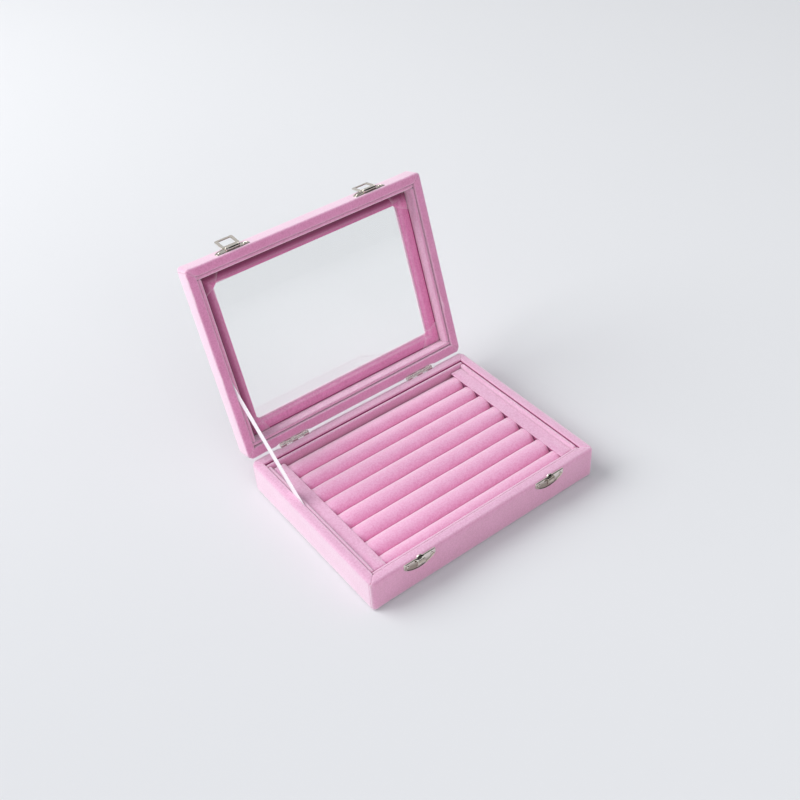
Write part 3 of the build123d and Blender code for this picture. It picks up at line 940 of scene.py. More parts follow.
# Turned and pressed metal
def turned(profile, steps=28):
    """Points and faces of a shape turned about X, from a closed outline of (along, radius)."""
    points = []
    for i in range(steps):
        turn = 2 * pi * i / steps
        points += [(along, radius * cos(turn), radius * sin(turn)) for along, radius in profile]
    return points, grid_faces(steps, len(profile), True, True)


def rounded_outline(half_x, half_y, radius, steps=6):
    """A rounded rectangle's outline, anticlockwise."""
    outline = []
    for side_x, side_y, start in CORNERS:
        centre = (side_x * (half_x - radius), side_y * (half_y - radius))
        outline += arc(centre, radius, start, start + 90, steps)
    return outline


def inward(outline, distance):
    """An anticlockwise outline moved in by a distance, by the mean normal at each point."""
    moved = []
    for i, point in enumerate(outline):
        before = Vector(outline[i - 1])
        here = Vector(point)
        after = Vector(outline[(i + 1) % len(outline)])
        one = (here - before).normalized()
        two = (after - here).normalized()
        normal = Vector((-one.y - two.y, one.x + two.x))
        if normal.length < 1e-6:
            normal = Vector((-one.y, one.x))
        normal.normalize()
        spread = max(0.5, normal.dot(Vector((-one.y, one.x))))
        moved.append(tuple(here + normal * distance / spread))
    return moved


def pressed_plate(outline, thickness, edge, border=0.0, sunk=0.0):
    """Points and faces of a stamped plate, flat on height 0: a rounded edge, and inside it a field
    that lies lower than its border."""
    loops = [(outline, 0.0), (outline, thickness - edge)]
    for turn in (25, 50, 75, 90):
        in_by = edge * (1 - cos(radians(turn)))
        loops.append((inward(outline, in_by), thickness - edge + edge * sin(radians(turn))))
    if border:
        loops += [
            (inward(outline, border), thickness),
            (inward(outline, border + 0.3 * sunk), thickness - 0.3 * sunk),
            (inward(outline, border + sunk), thickness - sunk),
        ]
    points = [(x, y, z) for loop, z in loops for x, y in loop]
    count = len(outline)
    faces = grid_faces(len(loops), count, False, True)
    faces.append(tuple(range(count)))
    faces.append(tuple((len(loops) - 1) * count + i for i in range(count)))
    return points, faces


def pressed_frame(outer, inner, thickness, edge):
    """Points and faces of a flat loop cut from sheet, centred on height 0, with rounded edges."""
    half = thickness / 2
    loops = [
        (outer, half - edge),
        (inward(outer, 0.3 * edge), half - 0.3 * edge),
        (inward(outer, edge), half),
        (inward(inner, -edge), half),
        (inward(inner, -0.3 * edge), half - 0.3 * edge),
        (inner, half - edge),
        (inner, edge - half),
        (inward(inner, -0.3 * edge), 0.3 * edge - half),
        (inward(inner, -edge), -half),
        (inward(outer, edge), -half),
        (inward(outer, 0.3 * edge), 0.3 * edge - half),
        (outer, edge - half),
    ]
    points = [(x, y, z) for loop, z in loops for x, y in loop]
    return points, grid_faces(len(loops), len(outer), True, True)


def gather(*shapes):
    """Several (points, faces, matrix) as the points and faces of one mesh."""
    points, faces = [], []
    for shape_points, shape_faces, matrix in shapes:
        first = len(points)
        points += [matrix @ Vector(p) for p in shape_points]
        faces += [tuple(first + i for i in face) for face in shape_faces]
    return points, faces


def standing(x, y, z, x_dir, y_dir):
    """A matrix for a flat shape: where its origin goes, and which way its x and y run."""
    x_dir = Vector(x_dir).normalized()
    y_dir = Vector(y_dir).normalized()
    turn = Matrix((x_dir, y_dir, x_dir.cross(y_dir))).transposed().to_4x4()
    return Matrix.Translation((x, y, z)) @ turn


# ---------------------------------------------------------------- the pieces
LINER_GROOVE = 0.3


def cover_lift(cover, rim_height, seed):
    """How far the velvet of a cover stands proud: swells, corner flaps and mitre creases."""
    leaves = [own_box(f"hinge_pin_{side}", base_place) for side in ("left", "right")]

    def lift(station, point, inset, height):
        hidden = 0.7 < inset < 6.05 and abs(height - rim_height) > 0.5 and inset != 0
        if hidden:
            return 0.0
        amount = 0.0
        down = abs(height - rim_height)
        round_ = cover.lid_edge_round if rim_height == 0 else cover.edge_round
        outer_face = inset < round_ and down < 40
        if outer_face:
            from_rim = min(1.0, down / 3)
            flap, groove = seam(station, min(1.0, down / round_))
            amount += cover.swell * from_rim * (0.5 + 0.5 * stray(point, cover.swell_size, seed))
            amount += 0.3 * cover.swell * from_rim * (0.5 + 0.5 * stray(point, 5, seed + 1))
            amount += cover.flap_rise * flap * min(1.0, down / round_)
            amount -= cover.crease * groove
            if point.y > half_depth - 0.6:
                free = min(max(low.x - 0.6 - point.x, point.x - high.x - 0.6, 0) for low, high in leaves)
                at_ends = min(1.0, (half_width - 1.5 - abs(point.x)) / 2)
                near_rim = min(1.0, max(0.0, 1.6 - down / 8))
                amount += cover.hinge_side_pile * min(1.0, free) * max(0.0, at_ends) * near_rim
        on_rim = down < 1.3 and round_ <= inset < 6.8
        if on_rim:
            from_mitre = abs((half_width - abs(point.x)) - (half_depth - abs(point.y))) / sqrt(2)
            amount -= cover.crease * 2.718 ** (-((from_mitre / 0.45) ** 2))
        return amount

    return lift


class RINGBOX_OT_base_cover(bpy.types.Operator):
    """Velvet wrapped over the base's four walls and turned in under its bottom"""

    bl_idname = "ring_box.base_cover"
    bl_label = "Base cover"

    def execute(self, context):
        cover = context.scene.ring_box_cover
        hem = base_low.z
        velvet_under = 0.75
        turned_in = 14.0
        inner = 6.75
        edge, rim, corner = cover.edge_round, cover.rim_round, cover.corner
        inside = 0.5
        top = base_high.z
        floor = own_box("base_bottom_board", base_place)[1].z
        outline = [(turned_in, hem), (9, hem), (5, hem)]
        outline += arc((edge, hem + edge), edge, 270, 180, 5)
        outline += [(0, z) for z in (5, 8, 11, 14, 17, 20, 23)]
        outline += arc((edge, top - edge), edge, 180, 90, 7)
        outline += [(3.2, top + 0.04), (4.1, top + 0.06), (5, top + 0.03)]
        outline += arc((inner - rim, top - rim), rim, 90, 0, 5)
        groove = top - 1.5
        outline += [(inner, groove), (inner, top - 3), (inner, top - 9), (inner, floor)]
        outline += [(inner - velvet_under, floor), (inner - velvet_under, top - velvet_under)]
        outline += [(velvet_under, top - velvet_under), (velvet_under, hem + velvet_under)]
        outline += [(turned_in, hem + velvet_under)]
        rows = [(d, z, max(corner - max(d, 0), inside)) for d, z in outline]
        piece = swept_skin("base_cover_velvet", rows, base_place, cover_lift(cover, top, 1))
        dress(piece, "base", "pink_velvet", "base_velvet_cover")
        # painted shade: the cover's inner wall below the groove gets the dark velvet
        refinish(piece, base_place, "painted_shade_velvet", lambda centre, normal: inner - 0.15 < inset_of(centre) and centre.z < groove)
        return {"FINISHED"}


class RINGBOX_OT_lid_cover(bpy.types.Operator):
    """Velvet wrapped over the lid's walls and top, and turned in round its window"""

    bl_idname = "ring_box.lid_cover"
    bl_label = "Lid cover"

    def execute(self, context):
        cover = context.scene.ring_box_cover
        edge, rim, corner = cover.lid_edge_round, cover.rim_round, cover.corner
        velvet_under = 0.75
        inner = 6.75
        window = 20.6
        turned_in = 16.3
        hem = 0.06
        lining = 0.6
        lip = 0.55
        inside = 0.5
        top = lid_height
        board_low = own_box("lid_top_board", lid_place)[0].z
        outline = [(inner, board_low), (inner, 6), (inner, 3)]
        outline += arc((inner - rim, rim), rim, 0, -90, 5)
        outline += [(5, -0.03), (4.1, -0.06), (3.2, -0.04)]
        outline += arc((edge, edge), edge, 270, 180, 7)
        outline += [(0, z) for z in (5, 7.5, 10)]
        outline += arc((edge, top - edge), edge, 180, 90, 7)
        outline += [(d, top) for d in (5, 8, 11, 14, 17, 19)]
        outline += arc((window - lip, top - lip), lip, 90, 0, 4)
        outline += [(window, glass_high.z + 0.6), (window - 0.05, glass_high.z)]
        outline += [(window - 0.5, glass_high.z - hem), (turned_in, glass_high.z - hem)]
        outline += [(turned_in, glass_high.z), (window - lining, glass_high.z)]
        outline += [(window - lining, top - velvet_under), (velvet_under, top - velvet_under)]
        outline += [(velvet_under, velvet_under), (inner - velvet_under, velvet_under)]
        outline += [(inner - velvet_under, board_low)]
        rows = [(d, z, max(corner - max(d, 0), inside)) for d, z in outline]
        piece = swept_skin("lid_cover_velvet", rows, lid_place, cover_lift(cover, 0.0, 5))
        dress(piece, "lid", "pink_velvet", "lid_velvet_cover")
        # painted shade: the groove inside the lid's rim gets the dark velvet
        refinish(piece, lid_place, "painted_shade_velvet", lambda centre, normal: abs(inset_of(centre) - inner) < 0.1 and centre.z > 2.5)
        return {"FINISHED"}


def liner_section(thickness, height, bulge):
    """Section of a liner: flat against the wall, rounded along its free edge."""
    half = thickness / 2
    top = half - 0.05
    section = [(-half, 0), (-half, 0.33 * height), (-half, 0.66 * height)]
    section += arc((0, height - top), top, 180, 0, 10)
    section += [
        (half + bulge * sin(pi * share), share * (height - top)) for share in (0.85, 0.68, 0.5, 0.32, 0.15)
    ]
    section += [(half - 0.1, 0)]
    return [(y, z) for y, z in section]


class RINGBOX_OT_liners(bpy.types.Operator):
    """Padded velvet strips round the inside of both halves"""

    bl_idname = "ring_box.liners"
    bl_label = "Liners"

    def execute(self, context):
        padding = context.scene.ring_box_padding
        for half, place, bulge in (("base", base_place, 0.0), ("lid", lid_place, padding.liner_bulge)):
            for number, side in enumerate(("back", "left", "front", "right")):
                node = f"{half}_liner_{side}"
                low, high = own_box(node, place)
                size = high - low
                length = max(size.x, size.y)
                thickness = min(size.x, size.y)
                section = liner_section(thickness, size.z, bulge)
                points, faces = pad_mesh(length, section, 1.5, 0.42, 0.07, 3.0)
                seed = number + (10 if half == "lid" else 20)
                lifted = []
                for x, y, z in points:
                    share = max(0.0, z / size.z - 0.3)
                    y += padding.wander * 0.8 * share * stray((x, 0, 0), 13, seed)
                    z += padding.wander * share * stray((x, 40, 0), 19, seed)
                    lifted.append((x, y, z))
                middle = (low + high) / 2
                up = 1 if half == "base" else -1
                stand = low.z if half == "base" else high.z
                way = Matrix.Rotation(radians(180 + 90 * number), 4, "Z")
                there = Matrix.Translation((middle.x, middle.y, stand))
                flip = Matrix.Diagonal((1, 1, up, 1))
                piece = put_in_place(f"{node}_pad", lifted, faces, place @ there @ way @ flip)
                dress(piece, half, "pink_velvet", node)
        return {"FINISHED"}


def rail_section(width, height, round_, crown):
    """Section of an end rail: crisp shoulders, a nearly flat top, and sides that lean in below."""
    half = width / 2
    foot = half - 2.2
    under = height - crown - round_
    section = [(foot, 0), (foot, 0.3 * height), (foot, 0.55 * height), (half - 1.5, under - 2.2)]
    section += [(half - 0.8, under - 1.0), (half - 0.25, under - 0.3)]
    section += arc((half - round_, under), round_, 0, 80, 4)
    section += [
        (share * (half - round_), height - crown * share * share)
        for share in (0.96, 0.88, 0.7, 0.35, 0, -0.35, -0.7, -0.88, -0.96)
    ]
    section += arc((round_ - half, under), round_, 100, 180, 4)
    section += [(0.25 - half, under - 0.3), (0.8 - half, under - 1.0)]
    section += [(1.5 - half, under - 2.2), (-foot, 0.55 * height), (-foot, 0.3 * height), (-foot, 0)]
    section += [(-half / 3, 0), (half / 3, 0)]
    return section


class RINGBOX_OT_end_rails(bpy.types.Operator):
    """Velvet-wrapped rails at the two ends of the ring rolls"""

    bl_idname = "ring_box.end_rails"
    bl_label = "End rails"

    def execute(self, context):
        padding = context.scene.ring_box_padding
        for number, side in enumerate(("left", "right")):
            node = f"end_rail_{side}"
            low, high = own_box(node, base_place)
            size = high - low
            slack = 0.15
            section = rail_section(size.x - 2 * slack, size.z - slack, 0.3, 0.12)
            points, faces = pad_mesh(size.y - 2 * slack, section, 2.2, 0.2, 0.06, 2.2)
            points = cloth_swell(
                points, faces, lambda p: p[2] < 2.0, padding.pressure, 0.3, padding.frames
            )
            kept = []
            for x, y, z in points:
                z += 0.4 * padding.wander * (z / size.z) * stray((x, y, 0), 25, 40 + number)
                kept.append((x, max(-size.x / 2, min(size.x / 2, y)), max(0.0, z)))
            middle = (low + high) / 2
            there = Matrix.Translation((middle.x, middle.y, low.z)) @ Matrix.Rotation(radians(90), 4, "Z")
            piece = put_in_place(f"{node}_pad", kept, faces, base_place @ there)
            piece.modifiers.new("soft", "SUBSURF").levels = 1
            dress(piece, "base", "pink_velvet", node)
            shoulder = high.z - 0.9
            # painted shade: the rails' sides below the shoulder, in the pits at the rolls' ends, get the dark velvet
            refinish(piece, base_place, "painted_shade_velvet", lambda centre, normal: centre.z < shoulder and abs(normal.x) > 0.5)
        return {"FINISHED"}


def roll_section(width, height, shoulder, fullness):
    """Section of a ring roll: upright sides up to the shoulder, then a full round crown."""
    half = width / 2
    crown = height - shoulder
    section = [(half - 0.5, 0), (half - 0.15, shoulder * 0.35), (half, shoulder * 0.75)]
    steps = 18
    for i in range(steps + 1):
        turn = pi * i / steps
        across = (abs(cos(turn)) ** (2 / fullness)) * (1 if cos(turn) >= 0 else -1)
        up = abs(sin(turn)) ** (2 / fullness)
        section.append((half * across, shoulder + crown * up))
    section += [(-half, shoulder * 0.75), (0.15 - half, shoulder * 0.35), (0.5 - half, 0)]
    section += [(-half / 3, 0), (half / 3, 0)]
    return section


class RINGBOX_OT_ring_rolls(bpy.types.Operator):
    """Eight foam rolls in velvet that hold rings between them"""

    bl_idname = "ring_box.ring_rolls"
    bl_label = "Ring rolls"

    def execute(self, context):
        padding = context.scene.ring_box_padding
        crown = 5.0
        for number in range(1, 9):
            node = f"ring_roll_{number}"
            low, high = own_box(node, base_place)
            size = high - low
            slack = 0.2
            width = size.y - 2 * slack
            height = size.z - slack
            section = roll_section(width, height, height - crown, padding.roll_fullness)
            length = size.x + 2 * padding.roll_tuck
            points, faces = pad_mesh(length, section, 0.35, 0.02, 0.0, 2.6, padding.roll_end)
            swollen = cloth_swell(
                points,
                faces,
                lambda p: p[2] < 3.0,
                padding.pressure,
                padding.most_swell,
                padding.frames,
            )
            kept = []
            for start, moved in zip(points, swollen):
                held = min(1.0, max(0.0, 1.6 - (length / 2 - abs(start[0])) / 4))
                x, y, z = Vector(moved).lerp(Vector(start), held)
                crest = max(0.0, z / size.z - 0.5)
                near_end = max(0.0, 1 - (size.x / 2 - abs(x)) / 9)
                pucker = sin(y * 2.1 + number * 1.7 + (2.0 if x > 0 else 0.0)) * near_end
                z += padding.wander * 1.6 * crest * stray((x, 0, 0), 23, 60 + number)
                z += padding.wander * 2.2 * crest * pucker
                y += padding.wander * crest * stray((x, 0, 0), 17, 80 + number)
                if low.y > 30:
                    z -= 2.4 * crest * max(0.0, 0.3 + 2 * y / size.y)
                half = size.y / 2
                kept.append((x, max(-half, min(half, y)), max(0.0, z)))
            middle = (low + high) / 2
            there = Matrix.Translation((middle.x, middle.y, low.z))
            piece = put_in_place(f"{node}_pad", kept, faces, base_place @ there)
            piece.modifiers.new("soft", "SUBSURF").levels = 1
            dress(piece, "base", "roll_velvet", node)
            # painted shade: the rolls' end caps get the dark velvet
            refinish(piece, base_place, "painted_shade_velvet", lambda centre, normal: abs(normal.x) > 0.85)
        return {"FINISHED"}


class RINGBOX_OT_window_mat(bpy.types.Operator):
    """Velvet-covered card round the window, with the patches folded over its corners"""

    bl_idname = "ring_box.window_mat"
    bl_label = "Window mat"

    def execute(self, context):
        outer = half_width - mat_high.x
        window = 20.2
        window_corner = 1.6
        low, high = mat_low.z, mat_high.z
        beside_liner = 10.9
        padded, slope = 0.9, 1.5

        def ease(share):
            share = min(1.0, max(0.0, share))
            return share * share * (3 - 2 * share)

        def face(inset):
            return low - padded * ease((inset - 10) / 3.5) + slope * ease((inset - 16.8) / 3.3)

        outline = [(outer, high), (outer, low)]
        outline += [
            (d, face(d)) for d in (9, beside_liner, 12, 13.5, 15, 16.4, 17.2, 17.8, 18.4, 19, 19.5)
        ]
        outline += [(window - 0.3, low + 0.56), (window - 0.08, low + 0.64), (window, low + 0.74)]
        outline += [(window - 0.05, low + 0.84), (window - 0.2, high), (16, high)]
        rows = [(d, z, window_corner if d > 14 else 0.5) for d, z in outline]

        def lift(station, point, inset, height):
            if height > low + 0.1 or inset < 8:
                return 0.0
            return 0.12 * (0.5 + 0.5 * stray(point, 11, 31))

        piece = swept_skin("window_mat_velvet", rows, lid_place, lift)
        dress(piece, "lid", "pink_velvet", "window_mat")
        piece.data.materials[0] = finish("mat_velvet")
        # painted shade: the mat's strip beside the liners gets the dark velvet
        refinish(piece, lid_place, "painted_shade_velvet", lambda centre, normal: inset_of(centre) < beside_liner)

        # A patch: velvet laid across the corner, its two cut ends standing in the window
        inset = 10.3
        reach = 17.0
        nib = 20.8
        fold = 0.42
        rows, per_edge = 12, 7
        tip = nib + window_corner
        edge = [
            (inset + reach, inset),
            (tip, nib),
            (nib + 0.9, nib + 0.5),
            (nib + 0.5, nib + 0.9),
            (nib, tip),
            (inset, inset + reach),
        ]
        run = []
        for one, two in zip(edge, edge[1:]):
            run += [Vector(one).lerp(Vector(two), k / per_edge) for k in range(per_edge)]
        run.append(Vector(edge[-1]))
        shapes = []
        for number, (side_x, side_y, start) in enumerate(CORNERS):
            points = []
            for face_up in (False, True):
                for i in range(rows + 1):
                    share = 1 - (1 - i / rows) ** 1.8
                    for point in run:
                        a = inset + (point.x - inset) * share
                        b = inset + (point.y - inset) * share
                        crease = 0.12 * (0.5 + 0.5 * stray((a, b, 0), 4, 90 + number))
                        rise = fold * min(1.0, (1 - share) / 0.035) ** 0.5 + crease * min(1.0, share * 4)
                        ground = face(min(a, b))
                        z = ground + 0.1 if face_up else ground - rise * (1 - share**30)
                        points.append((side_x * (half_width - a), side_y * (half_depth - b), z))
            columns = len(run)
            layer = (rows + 1) * columns
            faces = grid_faces(rows + 1, columns, False, False)
            faces += [tuple(layer + i for i in face) for face in faces]
            border = [i * columns for i in range(rows + 1)]
            border += [rows * columns + j for j in range(1, columns)]
            border += [i * columns + columns - 1 for i in range(rows - 1, -1, -1)]
            border += [j for j in range(columns - 2, 0, -1)]
            for i, first in enumerate(border):
                following = border[(i + 1) % len(border)]
                faces.append((first, following, layer + following, layer + first))
            shapes.append((points, faces, Matrix.Identity(4)))
        points, faces = gather(*shapes)
        patches = put_in_place("mat_corner_folds", points, faces, lid_place)
        dress(patches, "lid", "pink_velvet", "mat_corner_patches")
        patches.data.materials[0] = finish("mat_velvet")
        return {"FINISHED"}


class RINGBOX_OT_ribbon_stay(bpy.types.Operator):
    """Satin ribbon that stops the lid, glued in the groove of each half"""

    bl_idname = "ring_box.ribbon_stay"
    bl_label = "Ribbon stay"

    def execute(self, context):
        ribbon = context.scene.ring_box_ribbon
        low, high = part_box("ribbon_stay")
        groove = (low.x + high.x) / 2 / MM
        thickness = (high.x - low.x) / MM
        exit_along = 22.5
        base_tuck, lid_tuck = 16.0, 10.0
        start = base_place @ Vector((groove, exit_along, base_high.z))
        end = lid_place @ Vector((groove, exit_along, 0))
        pull = (end - start).normalized()
        across = pull.cross(Vector((1, 0, 0)))
        length = (end - start).length / MM
        steps, width_steps = 60, 8
        points = []
        for side in (-1, 1):
            for i in range(steps + 1):
                along = -base_tuck + (length + base_tuck + lid_tuck) * i / steps
                free = max(0.0, min(along / length, 1 - along / length, 0.2)) / 0.2
                for j in range(width_steps + 1):
                    share = 2 * j / width_steps - 1
                    bow = ribbon.cupping * free * (1 - share * share)
                    bow += 0.35 * free * ribbon.cupping * sin(along / 7.0) * share
                    half = thickness / 2 * (0.75 + 0.25 * (abs(share) > 0.8))
                    place = start + (pull * along + across * share * ribbon.width / 2) * MM
                    points.append(place / MM + Vector((side * half + bow, 0, 0)))
        columns = width_steps + 1
        layer = (steps + 1) * columns
        faces = grid_faces(steps + 1, columns, False, False)
        faces += [tuple(layer + i for i in face) for face in grid_faces(steps + 1, columns, False, False)]
        border = [i * columns for i in range(steps + 1)]
        border += [steps * columns + j for j in range(1, columns)]
        border += [i * columns + width_steps for i in range(steps - 1, -1, -1)]
        border += [j for j in range(width_steps - 1, 0, -1)]
        for i, first in enumerate(border):
            following = border[(i + 1) % len(border)]
            faces.append((first, following, layer + following, layer + first))
        piece = put_in_place("satin_ribbon", points, faces, in_millimetres)
        piece.data.materials.append(finish("white_satin"))
        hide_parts("ribbon_stay")
        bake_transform(piece)
        return {"FINISHED"}


def knuckle(start, length, radius, bore, edge):
    """A rolled knuckle or barrel: a tube along X with eased ends."""
    profile = [
        (start, bore),
        (start, radius - edge),
        (start + 0.3 * edge, radius - 0.3 * edge),
        (start + edge, radius),
        (start + length / 2, radius),
        (start + length - edge, radius),
        (start + length - 0.3 * edge, radius - 0.3 * edge),
        (start + length, radius - edge),
        (start + length, bore),
    ]
    return turned(profile)


def domed_pin(start, length, radius, dome):
    """A pin along X with a rounded head at each end."""
    profile = [(start - dome, 0.001)]
    profile += [(start - dome * cos(radians(a)), radius * sin(radians(a))) for a in (30, 60)]
    profile += [(start, radius), (start + length, radius)]
    profile += [(start + length + dome * cos(radians(a)), radius * sin(radians(a))) for a in (60, 30)]
    profile += [(start + length + dome, 0.001)]
    return turned(profile, 20)


class RINGBOX_OT_hinges(bpy.types.Operator):
    """Two butt hinges: base leaf, lid leaf and pin each"""

    bl_idname = "ring_box.hinges"
    bl_label = "Hinges"

    def execute(self, context):
        metal = context.scene.ring_box_metal
        knuckle_count = 5
        gap = 0.15
        barrel, bore, pin = 1.5, 0.66, 0.6
        leaf_thickness = 0.7
        leaf_clearance = 1.8
        for side in ("left", "right"):
            for half, place, numbers, up in (
                ("base", base_place, (0, 2, 4), -1),
                ("lid", lid_place, (1, 3), 1),
            ):
                node = f"hinge_{half}_leaf_{side}"
                low, high = own_box(node, place)
                pin_low, pin_high = own_box(f"hinge_pin_{side}", place)
                axis_y = (pin_low.y + pin_high.y) / 2
                axis_z = (pin_low.z + pin_high.z) / 2
                length = pin_high.x - pin_low.x
                middle_x = (pin_low.x + pin_high.x) / 2
                reach = (high.z - axis_z) if up > 0 else (axis_z - low.z)
                leaf_half = (reach - leaf_clearance) / 2
                outline = rounded_outline(length / 2, leaf_half, 0.8)
                points, faces = pressed_plate(outline, leaf_thickness, metal.edge, metal.border, 0.16)
                leaf_z = axis_z + up * (leaf_clearance + leaf_half)
                shapes = [(points, faces, standing(middle_x, half_depth, leaf_z, (-1, 0, 0), (0, 0, 1)))]
                each = length / knuckle_count
                for number in numbers:
                    start = -length / 2 + number * each + gap / 2
                    points, faces = knuckle(start, each - gap, barrel, bore, 0.16)
                    shapes.append((points, faces, Matrix.Translation((middle_x, axis_y, axis_z))))
                    web = rounded_outline((each - gap) / 2, (leaf_clearance + 0.6) / 2, 0.05, 2)
                    points, faces = pressed_plate(web, leaf_thickness, 0.08)
                    web_x = middle_x + start + (each - gap) / 2
                    web_z = axis_z + up * (leaf_clearance + 0.6) / 2
                    shapes.append((points, faces, standing(web_x, half_depth, web_z, (-1, 0, 0), (0, 0, 1))))
                points, faces = gather(*shapes)
                piece = put_in_place(f"{side}_hinge_{half}_leaf", points, faces, place)
                sharpen(piece)
                dress(piece, half, "nickel_plate", node)
                axis = Vector((0, axis_y, axis_z))
                # painted light: the barrels get the paler copy of the nickel
                refinish(
                    piece,
                    place,
                    "cloudy_plate",
                    lambda centre, normal: (centre.yz - axis.yz).length < barrel + 0.1,
                )
            low, high = own_box(f"hinge_pin_{side}", base_place)
            middle = (low + high) / 2
            points, faces = domed_pin(-(high.x - low.x) / 2, high.x - low.x, pin, 0.25)
            points, faces = gather((points, faces, Matrix.Translation(middle)))
            piece = put_in_place(f"{side}_hinge_pin", points, faces, base_place)
            dress(piece, "base", "nickel_plate", f"hinge_pin_{side}")
        return {"FINISHED"}


class RINGBOX_OT_nails(bpy.types.Operator):
    """Dome-headed nails through the hinge leaves and the latch plates"""

    bl_idname = "ring_box.nails"
    bl_label = "Nails"

    def execute(self, context):
        for node, half, place in (
            ("hinge_base_nails", "base", base_place),
            ("catch_plate_nails", "base", base_place),
            ("hinge_lid_nails", "lid", lid_place),
            ("latch_plate_nails", "lid", lid_place),
        ):
            low, high = own_box(node, place)
            outward = 1 if "hinge" in node else -1
            head_top = high.y if outward > 0 else -low.y
            z = (low.z + high.z) / 2
            radius = (high.z - low.z) / 2
            head = 0.7
            shank = 0.55
            back = half_depth - 3.6
            seat = head_top - head
            profile = [(back, 0.001), (back, shank), (seat, shank), (seat, radius)]
            profile += [(seat + 0.12, radius)]
            profile += [
                (seat + 0.12 + (head - 0.12) * sin(radians(a)), radius * 0.96 * cos(radians(a)))
                for a in (15, 35, 55, 68)
            ]
            profile += [(head_top - 0.12, 0.3), (head_top - 0.45, 0.24), (head_top - 0.5, 0.001)]
            points, faces = turned(profile, 24)
            spots = self.spots(node, place)
            way = Matrix.Rotation(radians(90 * outward), 4, "Z")
            shapes = [(points, faces, Matrix.Translation((x, 0, z)) @ way) for x in spots]
            points, faces = gather(*shapes)
            piece = put_in_place(f"{node}_domed", points, faces, place)
            sharpen(piece, 50)
            dress(piece, half, "nickel_plate", node)
        return {"FINISHED"}

    @staticmethod
    def spots(node, place):
        """The nails' places along the box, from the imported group."""
        back = place.inverted()
        xs = sorted((back @ v.co).x for v in frame["nodes"][node].data.vertices)
        groups = [[xs[0]]]
        for x in xs[1:]:
            if x - groups[-1][-1] > 3:
                groups.append([x])
            else:
                groups[-1].append(x)
        return [(group[0] + group[-1]) / 2 for group in groups]


def crescent(half, end, depth, corner):
    """Outline of a latch plate: straight top edge, belly down, anticlockwise."""
    # circle through both ends and the belly's lowest point
    rise = depth - end
    radius = (half * half + rise * rise) / (2 * rise)
    spread = degrees(asin(half / radius))
    belly = arc((0, radius - depth), radius, 270 - spread, 270 + spread, 26)
    belly[0] = (belly[0][0] + 0.25, belly[0][1] - 0.05)
    belly[-1] = (belly[-1][0] - 0.25, belly[-1][1] - 0.05)
    right = [(half, -end + 0.5), (half + 0.05, -end / 2), (half, -0.5), (half - 0.4, 0)]
    top = [(half * share, 0) for share in (0.8, 0.6, 0.4, 0.2, 0, -0.2, -0.4, -0.6, -0.8)]
    left = [(0.4 - half, 0), (-half, -0.5), (-half - 0.05, -end / 2), (-half, -end + 0.5)]
    return belly + right + top + left


